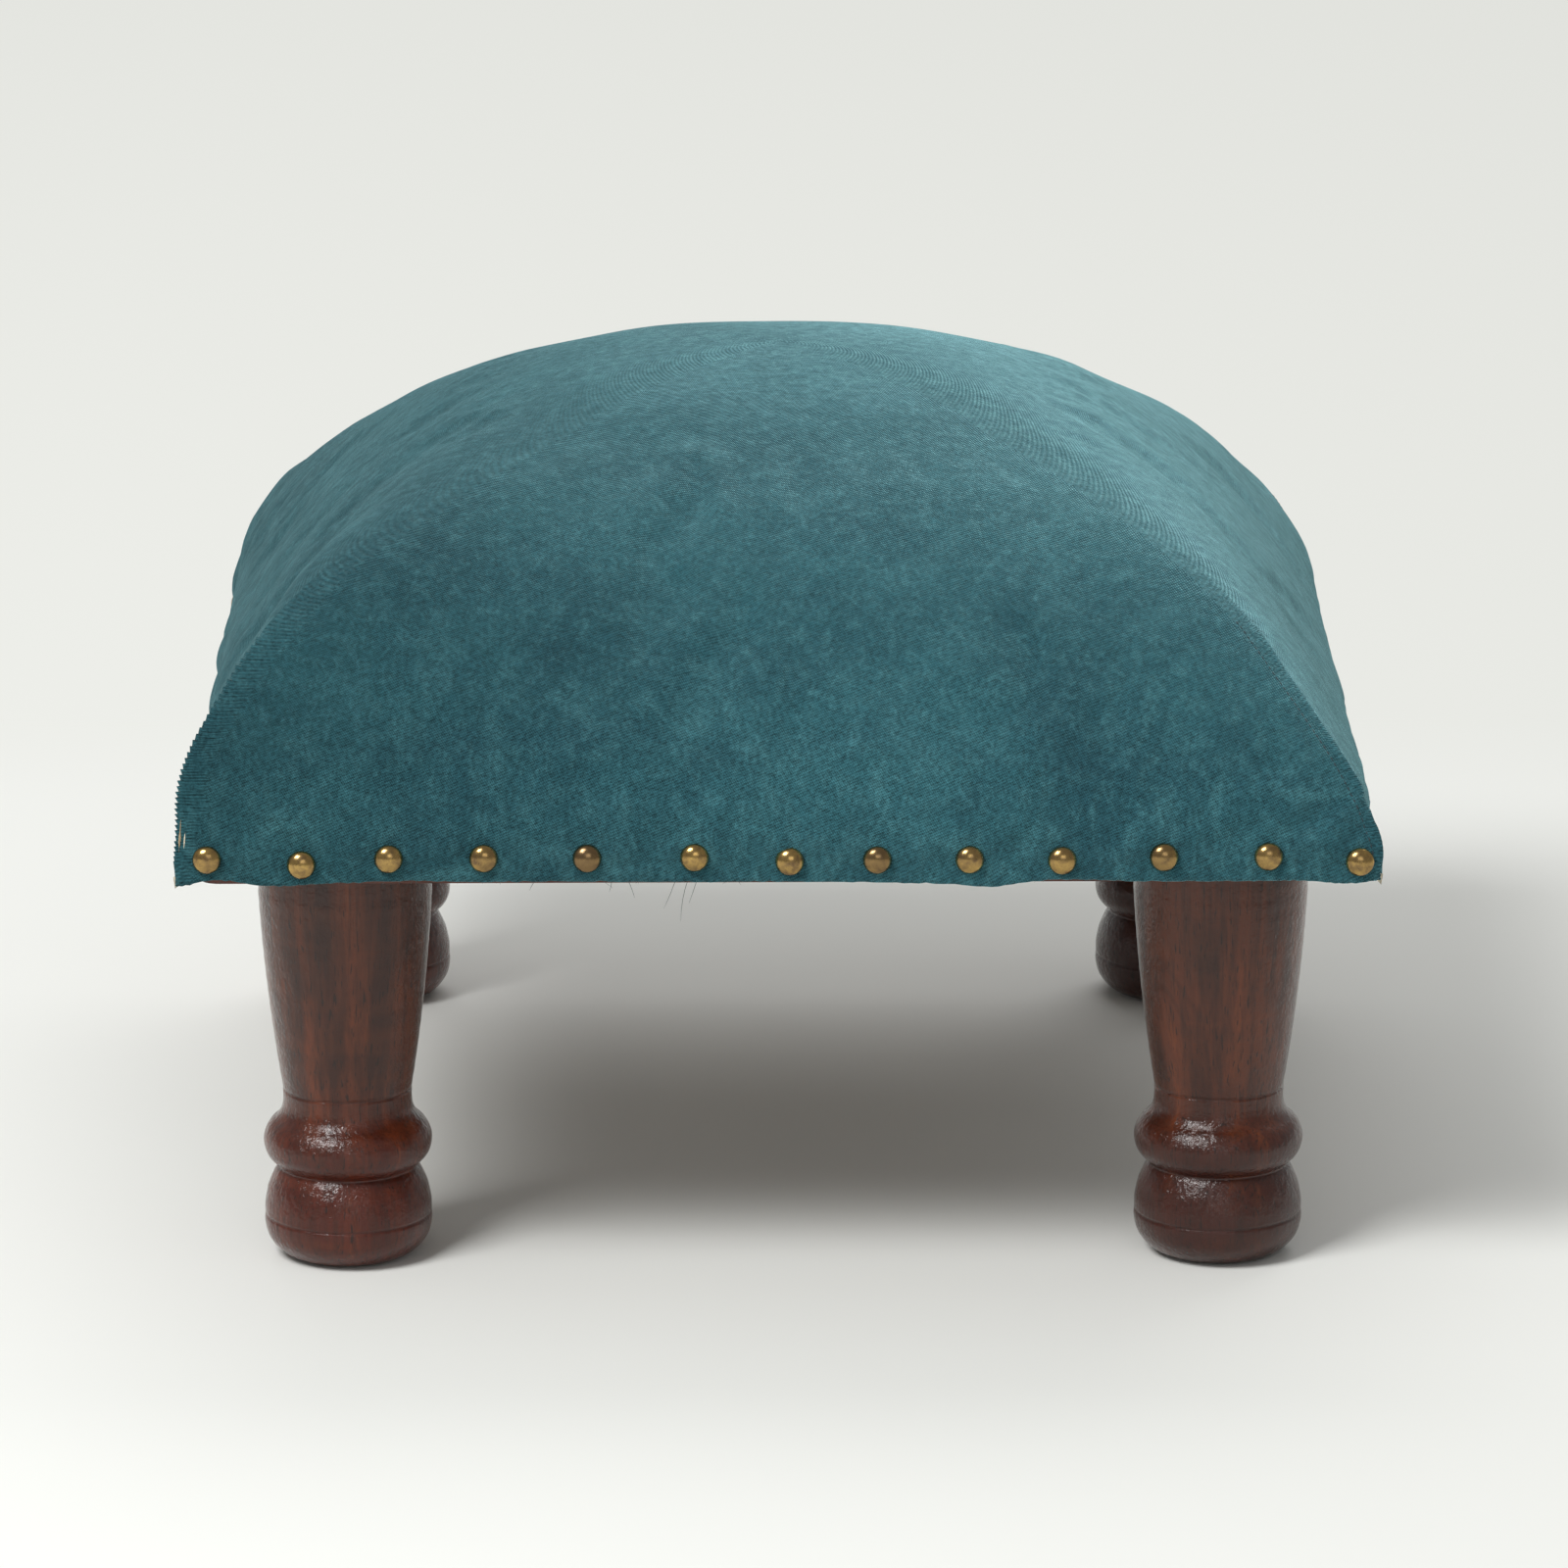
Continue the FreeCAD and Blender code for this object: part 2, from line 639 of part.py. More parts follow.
def build():
    nails = {s[0]: [aimed(nail(), s[1], p) for p in nail_places(s)] for s in SIDES}
    nail_holes = [aimed(nail_hole(), s[1], p) for s in SIDES for p in nail_places(s)]
    staples = [shape for side in SIDES for shape in staples_on(side, 0)]
    staple_slots = [shape for side in SIDES for shape in staples_on(side, WOOD_FIT)]
    screw_places = block_screw_places()
    block_screw_set = [aimed(screw(BLOCK_SCREW_LENGTH), d, p) for p, d in screw_places]
    block_screw_holes = [aimed(block_screw_hole(), d, p) for p, d in screw_places]
    panel_screws = [moved(screw(PANEL_SCREW_LENGTH), p) for p in panel_screw_places()]
    panel_screw_holes = [
        moved(screw_body(PANEL_SCREW_LENGTH, WOOD_FIT), p) for p in panel_screw_places()
    ]
    wood_holes = nail_holes + staple_slots + block_screw_holes + panel_screw_holes + dowels(WOOD_FIT)

    save("rail_front", cut_all(rail(0, -1), wood_holes))
    save("rail_back", cut_all(rail(0, 1), wood_holes))
    save("rail_left", cut_all(rail(-1, 0), wood_holes))
    save("rail_right", cut_all(rail(1, 0), wood_holes))
    save("rail_dowels", dowels(0))
    save("seat_panel", cut_all(panel_board(0), panel_screw_holes))
    save("panel_screws", panel_screws)
    save("block_screws", block_screw_set)

    bolts = []
    nuts = []
    for name, side_x, side_y in CORNERS:
        place = point(side_x * LEG_X, side_y * LEG_Y, 0)
        bolt = moved(hanger_bolt(), place)
        nut = moved(tee_nut(), place)
        bore = moved(tee_nut_bore(), place)
        block = cut_all(corner_block(side_x, side_y), block_screw_holes)
        save("corner_block_" + name, block.cut(nut).cut(bore))
        save("leg_" + name, moved(leg(), place))
        bolts.append(bolt)
        nuts.append(nut.cut(bore))
    save("hanger_bolts", bolts)
    save("tee_nuts", nuts)

    save("foam_core", foam_core())
    save("wadding", wadding())
    lining = layer(LINING_INSET, LINING_THICKNESS, LINING_HEM)
    save("lining", cut_all(lining, nail_holes + staple_slots))
    save("velvet_cover", cut_all(layer(0, COVER_THICKNESS, COVER_HEM), nail_holes))
    save("staples", staples)
    for name, shapes in nails.items():
        save("nails_" + name, shapes)


os.makedirs("parts", exist_ok=True)
build()
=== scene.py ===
import math

import bpy
import numpy as np
from bpy.props import FloatProperty, FloatVectorProperty, IntProperty, PointerProperty
from bpy.types import Operator, Panel, PropertyGroup
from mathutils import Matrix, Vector


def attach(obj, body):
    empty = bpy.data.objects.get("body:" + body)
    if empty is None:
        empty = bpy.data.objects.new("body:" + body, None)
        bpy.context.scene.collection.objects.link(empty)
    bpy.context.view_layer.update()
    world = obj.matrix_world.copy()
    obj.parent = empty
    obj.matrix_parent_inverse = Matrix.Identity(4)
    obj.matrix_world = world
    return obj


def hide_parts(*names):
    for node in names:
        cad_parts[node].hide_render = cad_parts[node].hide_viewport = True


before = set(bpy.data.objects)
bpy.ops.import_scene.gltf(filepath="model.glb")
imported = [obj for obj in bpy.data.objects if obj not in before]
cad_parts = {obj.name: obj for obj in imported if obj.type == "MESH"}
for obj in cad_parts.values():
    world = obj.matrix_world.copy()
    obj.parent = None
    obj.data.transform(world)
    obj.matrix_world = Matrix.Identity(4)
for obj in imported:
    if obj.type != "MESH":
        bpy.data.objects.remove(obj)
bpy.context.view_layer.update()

bl_info = {
    "name": "Upholstered Footstool",
    "version": (1, 0, 0),
    "blender": (4, 5, 0),
    "location": "3D View > Sidebar > Footstool",
    "description": "Dresses the footstool's frame with velvet, stuffing, nails and turned legs",
    "category": "Object",
}

MM = 0.001

# The seat, in millimetres like every shape here until it goes into its mesh
SEAT_HALF = np.array((195.0, 214.0))
CROWN_FOOT = 152.0
CROWN_HEIGHT = 126.0
CROWN_DEPTH_DRAW = 0.2
COVER_HEM = 143.0
BACK_DRAW = 0.03
COVER_THICKNESS = 1.5
LINING_HEM = 144.5
LINING_INSET = 2.2
LINING_CORNER_INSET = 1.6
LINING_THICKNESS = 0.8
FRAME_INSET = 2.9
WADDING_THICKNESS = 8.0
LAYER_GAP = 0.3
RAIL_TOP = 166.0
PANEL_TOP = 174.0
PANEL_HALF = np.array((181.1, 200.1))
STUFFING_GRID = 81
LINING_GRID = 121

# Crown, level by level: share of its height, share by which it is drawn in, roundness of
# the corners and swell of the sides as shares of the half width
CROWN_LEVELS = (
    (0.000, 0.000, 0.030, 0.000), (0.050, 0.000, 0.026, 0.010), (0.110, 0.008, 0.022, 0.016),
    (0.187, 0.024, 0.026, 0.022), (0.260, 0.048, 0.034, 0.024), (0.330, 0.078, 0.048, 0.026),
    (0.471, 0.150, 0.110, 0.034), (0.613, 0.241, 0.230, 0.045), (0.745, 0.353, 0.370, 0.052),
    (0.856, 0.481, 0.490, 0.060), (0.938, 0.626, 0.600, 0.066), (0.972, 0.748, 0.620, 0.070),
    (0.990, 0.851, 0.620, 0.072), (0.998, 0.933, 0.620, 0.072), (1.000, 0.975, 0.620, 0.072),
    (1.000, 1.000, 0.620, 0.072),
)

# The stuffing fills the corners at the front: height, push outwards on the left and right
FULL_CORNERS = (
    (140, 7, 2.5), (152, 7.5, 3), (165, 11, 3), (178, 15, 2), (193, 18.6, 2),
    (205, 22, 4), (216, 26, 8), (226, 28, 10), (236, 27, 10), (246, 21, 8), (257, 10, 4),
    (267, 2, 1), (280, 0, 0),
)

# Front hem: middle of each dip or rise, its half width, how far it goes up
HEM_WAVES = (
    (-199, 7, -1.1), (-187, 9, 1.5), (-166, 11, -0.9), (-123, 16, 0.9), (-60, 40, 0.5),
    (48, 12, -0.5), (67, 10, -1.9), (95, 12, 0.7), (184, 10, -1.2),
)

# Nails along the hem
NAIL_HEIGHT = 150.5
NAIL_RADIUS = 4.75
NAIL_DOME = 3.4
NAIL_SHANK_RADIUS = 0.8
NAIL_SHANK_LENGTH = 10.0
NAIL_TIP_LENGTH = 2.5
SIDE_NAILS_SUNK = 2.9

# Cloth simulation: frames, grid lines, reach of a nail's pin, height over which all is
# pinned, rounds of smoothing, largest fold kept
CLOTH_FRAMES = 20
COARSE_CLOTH = 91
PIN_REACH = 5.5
PINNED_ABOVE = 262
SMOOTHING_ROUNDS = 30
CLOTH_FOLD = 1.6
COVER_HOLLOW = 1.2

# Stitches of the corner seams, between two heights, and fuzz per side of the hem
SEAM_FOOT = 148
SEAM_TOP = 219
STITCH_PITCH = 2.3
STITCH_RADIUS = 0.28
STITCH_HALF_LENGTH = 0.85
STITCH_DEPTH = 0.1
HIDDEN_STITCH_DEPTH = 1.0
FUZZ_COUNT = 90

# Drift of each nail, along the rail and up
NAIL_DRIFT = (
    (-0.4, 0.5), (-1.0, -1.3), (-3.9, 0.6), (-4.3, 0.7), (-1.9, 0.6), (1.8, 0.8), (1.5, -0.6),
    (-1.3, -0.2), (-2.5, -0.2), (-3.7, -0.6), (-1.8, 0.4), (1.0, 0.5), (-0.5, -1.4), (0.0, 0.3),
)
# Side: the way it faces, the way along it, nails, margin to the corner
SIDES = {
    "front": ((0, -1), (1, 0), 13, 5.7),
    "back": ((0, 1), (-1, 0), 13, 5.7),
    "left": ((-1, 0), (0, -1), 14, 20.0),
    "right": ((1, 0), (0, 1), 14, 20.0),
}

# Camera, in metres and degrees, and half the floor
CAMERA_LENS = 240.37
CAMERA_TILT = 14.69
CAMERA_TURN = 0.69
CAMERA_DISTANCE = 3.65
CAMERA_AIM = (0.0022, 0.0, 0.120)
FLOOR_HALF = 6.0

# Area lights in metres: place, what it faces, size
LIGHTS = {
    "key": ((-1.16, -1.32, 2.03), (0.0, 0.0, 0.1), (0.95, 0.95)),
    "back": ((0.3, 1.5, 1.8), (0.0, 0.0, 0.15), (2.2, 1.2)),
    "fill": ((0.4, -3.6, 1.3), (0.0, 0.0, 0.15), (1.6, 1.2)),
}

# Turned legs
LEG_PLACE = (146.1, 160.1)
LEG_NODES = {
    "leg_front_left": (-1, -1), "leg_front_right": (1, -1),
    "leg_back_left": (-1, 1), "leg_back_right": (1, 1),
}


# Shapes


def smooth_curve(knots, values, at):
    """Natural cubic spline: one cubic between each two knots, with equal slope and equal
    curvature where two cubics meet. values has a column for each thing that is drawn."""
    knots = np.asarray(knots, float)
    values = np.asarray(values, float).reshape(len(knots), -1)
    step = np.diff(knots)
    slope = np.diff(values, axis=0) / step[:, None]
    inner = np.arange(1, len(knots) - 1)
    system = np.eye(len(knots))
    system[inner, inner - 1] = step[:-1]
    system[inner, inner] = 2 * (step[:-1] + step[1:])
    system[inner, inner + 1] = step[1:]
    pull = np.zeros_like(values)
    pull[1:-1] = 6 * np.diff(slope, axis=0)
    bend = np.linalg.solve(system, pull)
    span = np.clip(np.searchsorted(knots, at) - 1, 0, len(step) - 1)
    width = step[span][..., None]
    run = (at - knots[span])[..., None]
    rate = slope[span] - width * (2 * bend[span] + bend[span + 1]) / 6
    cubic = run**3 * (bend[span + 1] - bend[span]) / (6 * width)
    return values[span] + run * rate + run**2 * bend[span] / 2 + cubic


def uneven(points, wavelength, seed, count=14):
    """Sum of plane waves with random headings and phases, a smooth field of about unit size."""
    dice = np.random.default_rng(seed)
    heading = dice.normal(size=(count, 3))
    heading /= np.linalg.norm(heading, axis=1)[:, None]
    heading *= (2 * math.pi / wavelength * dice.uniform(0.7, 1.4, count))[:, None]
    phase = dice.uniform(0, 2 * math.pi, count)
    return np.sin(points @ heading.T + phase).sum(-1) / math.sqrt(count / 2)


def soft_step(value, low, high):
    """Cubic ramp from 0 at low to 1 at high."""
    share = np.clip((value - low) / (high - low), 0, 1)
    return share * share * (3 - 2 * share)


def square_grid(count, crowding=1.15):
    """Two count by count arrays over the square from -1 to 1. The lines crowd to its edges:
    sin(crowding * s) / sin(crowding) for equal steps of s."""
    line = np.sin(crowding * np.linspace(-1, 1, count)) / math.sin(crowding)
    return np.meshgrid(line, line, indexing="ij")


def crown_surface(a, b, inset, foot):
    """Crown of the seat for (a, b) in the square from -1 to 1, set in by inset. The larger
    of |a| and |b| runs from the middle down the section to the foot. The smaller, as a share
    of it, runs along the side: each level is the square's outline drawn onto a swollen
    oblong with round corners, (share, 1) / (1 + share^n)^(1/n) * (1 - swell * bow). The bow is
    share^2 low down, and share^2 * (2 - share^2), which has no crease, in the dome."""
    rise, draw, corner, swell = np.array(CROWN_LEVELS).T
    half = SEAT_HALF - inset
    height = CROWN_FOOT + rise * (CROWN_HEIGHT - inset)
    if foot < CROWN_FOOT:
        height = np.concatenate(([foot, (foot + CROWN_FOOT) / 2], height))
        draw, corner, swell = (np.concatenate((v[:1], v[:1], v)) for v in (draw, corner, swell))
    step = np.hypot(np.diff(height), half[0] * np.diff(draw))
    run = np.concatenate(([0], np.cumsum(step)))
    near = np.stack((height, draw, corner, swell), axis=1)
    far = near[-2::-1].copy()
    far[:, 1] = 2 - far[:, 1]
    knots = np.concatenate((run, 2 * run[-1] - run[-2::-1]))
    levels = np.concatenate((near, far))
    start = 0.0
    if foot > CROWN_FOOT:
        trial = np.linspace(0, run[-1], 400)
        start = np.interp(foot, smooth_curve(knots, levels, trial)[:, 0], trial)
    reach = np.maximum(np.abs(a), np.abs(b))
    share = np.minimum(np.abs(a), np.abs(b)) / np.maximum(reach, 1e-9)
    along = start + (run[-1] - start) * (1 - reach)
    z, draw, corner, swell = np.moveaxis(smooth_curve(knots, levels, along), -1, 0)
    power = -math.log(2) / np.log(1 - (1 - math.sqrt(0.5)) * corner)
    ease = soft_step(corner, 0.08, 0.35)
    bow = share**2 * (1 + ease * (1 - share**2))
    pull = (1 + share**power) ** (-1 / power) * (1 - swell * bow)
    across = half[0] * (1 - draw)
    deep = half[1] * (1 - draw * (1 + CROWN_DEPTH_DRAW * (1 - draw)))
    reach = np.maximum(reach, 1e-9)
    x, y = across * pull * a / reach, deep * pull * b / reach
    x = x * (1 - BACK_DRAW * (y / SEAT_HALF[1] + 1) / 2 * soft_step(z, 168, 198))
    return np.stack((x, y, z), axis=-1), share


def fill_corner(points, share, a, b, inset):
    """Pushes the front corners out by the push at each height. It fades along the sides as
    share^n, n from 14 at the hem to 4, and higher up as a bell with no crease at the corner.
    Layers that are set in take the push of the cover above them, a little less of it."""
    heights, left, right = np.array(FULL_CORNERS, float).T
    level = points[..., 2] + 0.7 * inset
    push = smooth_curve(heights, np.stack((left, right), -1), np.clip(level, 140, 280))
    push = np.where(a < 0, push[..., 0], push[..., 1]) * (b < 0) * (1 - 0.012 * inset)
    ridge = share ** (14 - 10 * soft_step(level, 150, 190))
    bell = np.exp(-(((1 - share) / 0.42) ** 2)) * soft_step(share, 0.0, 0.4)
    weight = ridge + (bell - ridge) * soft_step(level, 205, 238)
    deep = 0.75 * soft_step(level, 158, 195)
    return points + (push * weight)[..., None] * np.stack((np.sign(a), -deep, 0 * deep), -1)


def layer_surface(a, b, inset, foot):
    """The crown set in by inset, with its corners filled out, and the shares along its sides."""
    points, share = crown_surface(a, b, inset, foot)
    return fill_corner(points, share, a, b, inset), share


def unit(vectors):
    return vectors / np.maximum(np.linalg.norm(vectors, axis=-1), 1e-9)[..., None]


def grid_normals(points):
    """Unit normals of a grid of points: the cross product of its two directions."""
    return unit(np.cross(np.gradient(points, axis=0), np.gradient(points, axis=1)))


def border(count):
    """Row and column numbers round the edge of a count by count grid, once round."""
    up = np.arange(count - 1)
    down = up[::-1] + 1
    low, high = np.zeros_like(up), np.full_like(up, count - 1)
    rows = np.concatenate((up, high, down, low))
    columns = np.concatenate((low, up, high, down))
    return rows, columns


def grid_faces(rows, columns, start=0, turned_round=False):
    """Four-sided faces of a rows by columns grid of vertices numbered from start."""
    number = start + np.arange(rows * columns).reshape(rows, columns)
    faces = np.stack((number[:-1, :-1], number[1:, :-1], number[1:, 1:], number[:-1, 1:]), -1)
    faces = faces.reshape(-1, 4)
    return faces[:, ::-1] if turned_round else faces


def shell(outer, rings, inner):
    """Closed skin from an outer grid, rings that lead round its edge, and an inner grid.
    Gives its points and its faces."""
    count = len(outer)
    rows, columns = border(count)
    edge = rows * count + columns
    loops = [edge]
    points = [outer.reshape(-1, 3)]
    total = count * count
    for ring in rings:
        points.append(ring)
        loops.append(total + np.arange(len(ring)))
        total += len(ring)
    points.append(inner.reshape(-1, 3))
    loops.append(total + edge)
    faces = [grid_faces(count, count)]
    for upper, lower in zip(loops[:-1], loops[1:]):
        wall = (upper, lower, np.roll(lower, -1), np.roll(upper, -1))
        faces.append(np.stack(wall, axis=-1))
    faces.append(grid_faces(count, count, total, True))
    return np.concatenate(points), np.concatenate(faces)


def arc_through(start, middle, end, count):
    """Points of the circle through three points, from the first to the last, evenly."""
    (ax, ay), (bx, by), (cx, cy) = start, middle, end
    double = 2 * (ax * (by - cy) + bx * (cy - ay) + cx * (ay - by))
    squares = [ax * ax + ay * ay, bx * bx + by * by, cx * cx + cy * cy]
    x = (squares[0] * (by - cy) + squares[1] * (cy - ay) + squares[2] * (ay - by)) / double
    y = (squares[0] * (cx - bx) + squares[1] * (ax - cx) + squares[2] * (bx - ax)) / double
    first, mid, last = (math.atan2(py - y, px - x) for px, py in (start, middle, end))
    turn = 2 * math.pi
    mid, last = (mid - first) % turn, (last - first) % turn
    sweep = last if mid < last else last - turn
    angle = first + np.linspace(0, sweep, count)
    radius = math.hypot(ax - x, ay - y)
    return np.stack((x + radius * np.cos(angle), y + radius * np.sin(angle)), axis=-1)


def straight(start, end, count):
    """Evenly spaced points from start to end."""
    return np.linspace(np.asarray(start, float), np.asarray(end, float), count)


def turned(profile, sides, wobble=None):
    """Surface of revolution about Z of a profile of (radius, height) points that starts and
    ends on the axis; wobble(angle, height) is added to the radius. Gives points and faces."""
    angle = np.linspace(0, 2 * math.pi, sides, endpoint=False)
    radius = profile[1:-1, 0][:, None] + np.zeros(sides)
    height = profile[1:-1, 1][:, None] + np.zeros(sides)
    if wobble is not None:
        radius = radius + wobble(angle[None, :], height) * (radius > profile[:, 0].max() / 2)
    body = np.stack((radius * np.cos(angle), radius * np.sin(angle), height), axis=-1)
    poles = np.array(((0, 0, profile[0, 1]), (0, 0, profile[-1, 1])))
    points = np.concatenate((body.reshape(-1, 3), poles))
    rings = len(profile) - 2
    number = np.arange(rings * sides).reshape(rings, sides)
    after = np.roll(number, -1, axis=1)
    quads = np.stack((number[:-1], after[:-1], after[1:], number[1:]), -1).reshape(-1, 4)
    low, high = rings * sides, rings * sides + 1
    fans = [np.stack((np.full(sides, low), after[0], number[0]), -1)]
    fans.append(np.stack((np.full(sides, high), number[-1], after[-1]), -1))
    return points, quads.tolist() + np.concatenate(fans).tolist()


def repeated(points, faces, frames, places):
    """Copies of one small shape: each turned by its frame's rows and set at its place."""
    copies = np.einsum("pk,nkj->npj", points, frames) + places[:, None, :]
    shift = np.arange(len(places)) * len(points)
    every = [[number + s for number in face] for s in shift.tolist() for face in faces]
    return copies.reshape(-1, 3), every


def new_object(name, data):
    made = bpy.data.objects.new(name, data)
    bpy.context.scene.collection.objects.link(made)
    return made


def make_piece(name, points, faces, materials, slot=0, uv=None):
    """Mesh object from points in millimetres. slot is a material number or one per face."""
    mesh = bpy.data.meshes.new(name)
    faces = faces.tolist() if isinstance(faces, np.ndarray) else faces
    mesh.from_pydata((np.asarray(points) * MM).tolist(), [], faces)
    mesh.polygons.foreach_set("use_smooth", np.ones(len(faces), bool))
    for material in materials:
        mesh.materials.append(material)
    mesh.polygons.foreach_set("material_index", np.broadcast_to(slot, len(faces)).astype("i"))
    if uv is not None:
        layer = mesh.uv_layers.new(name="cloth")
        layer.uv.foreach_set("vector", np.asarray(uv, np.float32).ravel())
    mesh.update()
    piece = new_object(name, mesh)
    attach(piece, "root")
    return piece


# Materials


def light_value(level):
    """One channel of a screen colour, 0 to 255, as the linear value that a shader takes."""
    share = level / 255
    return share / 12.92 if share <= 0.04045 else ((share + 0.055) / 1.055) ** 2.4


def paint(red, green, blue):
    return tuple(light_value(level) for level in (red, green, blue))


class Finish:
    """A material and short calls that add nodes to it. Numbers go to the shader's sockets."""

    def __init__(self, name, **sockets):
        self.material = bpy.data.materials.new(name)
        self.material.use_nodes = True
        self.tree = self.material.node_tree
        self.shader = self.tree.nodes["Principled BSDF"]
        for label, value in sockets.items():
            self.put(self.shader.inputs[label.replace("_", " ")], value)
        places = self.tree.nodes.new("ShaderNodeTexCoord")
        self.place = places.outputs["Object"]
        self.cloth = places.outputs["UV"]

    def put(self, socket, value):
        if isinstance(value, bpy.types.NodeSocket):
            self.tree.links.new(value, socket)
        else:
            opaque = socket.type == "RGBA" and np.ndim(value) == 1
            socket.default_value = (*value, 1) if opaque else value

    def node(self, kind, inputs, output=0, **settings):
        made = self.tree.nodes.new("ShaderNode" + kind)
        for label, value in settings.items():
            setattr(made, label, value)
        for label, value in inputs.items():
            self.put(made.inputs[label], value)
        return made.outputs[output]

    def spread(self, vector, scale, turn=(0, 0, 0), shift=(0, 0, 0)):
        return self.node("Mapping", {0: vector, "Location": shift, "Rotation": turn, "Scale": scale})

    def noise(self, vector, scale, detail=2, roughness=0.5, distortion=0):
        inputs = {"Vector": vector, "Scale": scale, "Detail": detail}
        inputs.update({"Roughness": roughness, "Distortion": distortion})
        return self.node("TexNoise", inputs)

    def math(self, operation, first, second=0, third=0):
        inputs = {0: first, 1: second, 2: third}
        return self.node("Math", inputs, operation=operation)

    def ramp(self, factor, low, high, start=0, end=1):
        inputs = {"Value": factor, "From Min": low, "From Max": high}
        inputs.update({"To Min": start, "To Max": end})
        return self.node("MapRange", inputs)

    def mix(self, factor, first, second, blend="MIX"):
        made = self.tree.nodes.new("ShaderNodeMix")
        made.data_type = "RGBA"
        made.blend_type = blend
        self.put(made.inputs[0], factor)
        self.put(made.inputs[6], first)
        self.put(made.inputs[7], second)
        return made.outputs[2]

    def layers(self, colour, *shades):
        """The colour with further shades over it: each has a field, its ramp and a colour."""
        for field, limits, shade in shades:
            colour = self.mix(self.ramp(field, *limits), colour, shade)
        return colour

    def bump(self, height, strength, distance, under=None):
        inputs = {"Height": height, "Strength": strength, "Distance": distance}
        if under is not None:
            inputs["Normal"] = under
        return self.node("Bump", inputs)

    def split(self, vector, output):
        return self.node("SeparateXYZ", {0: vector}, output)

    def join(self, x, y, z):
        return self.node("CombineXYZ", {0: x, 1: y, 2: z})

    def finish(self, colour, roughness=None, normal=None, coat_normal=None):
        inputs = {"Base Color": colour, "Roughness": roughness, "Normal": normal}
        inputs["Coat Normal"] = coat_normal
        for label, value in inputs.items():
            if value is not None:
                self.put(self.shader.inputs[label], value)
        return self.material


def threads(finish, pitch):
    """Height of a fine twill: two families of threads at right angles on the cloth's own
    map, each a wave, the second shifted along the first so that the floats run aslant."""
    rate = 2 * math.pi / pitch
    wander = finish.noise(finish.cloth, 0.25 / pitch, 2)
    u = finish.math("MULTIPLY_ADD", finish.split(finish.cloth, 0), rate, wander)
    v = finish.math("MULTIPLY_ADD", finish.split(finish.cloth, 1), rate, wander)
    slant = finish.math("SINE", finish.math("MULTIPLY_ADD", u, 0.5, v))
    weft = finish.math("SINE", finish.math("SUBTRACT", u, finish.math("MULTIPLY", v, 0.15)))
    return finish.math("MULTIPLY_ADD", finish.math("MULTIPLY", slant, weft), 0.5, 0.5)


def velvet_finish(look):
    """Teal cotton velvet: fine mottled pile, short strokes, a twill under it, pale sheen. The
    pile is crushed in small spots low down. Towards the left the colour is darkened and the
    sheen turned down: painted shade."""
    finish = Finish(
        "teal_velvet", Roughness=0.9, Sheen_Roughness=look.sheen_roughness,
        Sheen_Tint=look.sheen_colour, Specular_IOR_Level=0.1,
    )
    place = finish.place
    side = finish.split(place, 0)
    low = finish.ramp(finish.split(place, 2), 0.21, 0.165, 0.35, 1)
    broad = finish.noise(place, 9, 3, 0.6, 0.4)
    patches = finish.noise(finish.spread(place, (1, 1, 0.7)), 60, 5, 0.7, 0.3)
    stroke = finish.noise(finish.spread(place, (1, 1, 0.35)), 240, 3, 0.7)
    crushed = finish.noise(place, 42, 3, 0.55, 1.2)
    pile = finish.noise(place, 760, 3, 0.8)
    weave = threads(finish, look.weave_pitch)
    colour = finish.mix(finish.ramp(broad, 0.32, 0.7), look.pile_dark, look.pile)
    colour = finish.layers(
        colour, (patches, (0.5, 0.72, 0, 0.35), look.pile_light),
        (patches, (0.5, 0.3, 0, 0.3), look.pile_dark),
    )
    flat, raised = (0.56, 0.7, 0, 0.8), (0.42, 0.3, 0, 0.5)
    for limits, shade in ((flat, look.pile_dark), (raised, look.pile_light)):
        spots = finish.math("MULTIPLY", finish.ramp(crushed, *limits), low)
        colour = finish.mix(spots, colour, shade)
    colour = finish.layers(colour, (stroke, (0.5, 0.75, 0, 0.5), look.pile_light))
    weave_tone = finish.ramp(weave, 0, 1, -0.38, 0.44)
    grain = finish.math("ADD", finish.ramp(pile, 0.35, 0.65, 0.6, 1.44), weave_tone)
    # Painted shade: towards the left (Object X) the grain's tone falls, which darkens the colour
    # there
    grain = finish.math("MULTIPLY", grain, finish.ramp(side, -0.2, 0.02, look.painted_left_shade, 1))
    grain = finish.node("CombineColor", {0: grain, 1: grain, 2: grain})
    colour = finish.mix(1, colour, grain, "MULTIPLY")
    # Painted shade: the sheen weight is turned down towards the left as well
    painted_left_sheen_shade = finish.ramp(side, -0.19, 0.06, 0.32, 1)
    frost = finish.math("MULTIPLY", finish.ramp(stroke, 0.3, 0.7, 0.7, 1.25), painted_left_sheen_shade)
    frost = finish.math("MULTIPLY", frost, look.sheen)
    finish.put(finish.shader.inputs["Sheen Weight"], frost)
    normal = finish.bump(finish.math("MULTIPLY_ADD", weave, 0.8, pile), 0.8, 0.0004)
    normal = finish.bump(finish.math("ADD", patches, stroke), 0.4, 0.0007, normal)
    return finish.finish(colour, None, normal)


def woven_finish(name, speck, dark, pale, pitch):
    """Plain cotton: two shades in specks, and its threads as bump."""
    finish = Finish(name, Roughness=0.9, Specular_IOR_Level=0.2)
    colour = finish.mix(finish.noise(finish.place, *speck), paint(*dark), paint(*pale))
    return finish.finish(colour, None, finish.bump(threads(finish, pitch), 0.5, 0.0003))


def thread_finish(name, scale, dark, pale):
    finish = Finish(name, Roughness=0.8, Sheen_Weight=0.3)
    twist = finish.noise(finish.place, scale, 2)
    return finish.finish(finish.mix(twist, paint(*dark), paint(*pale)))


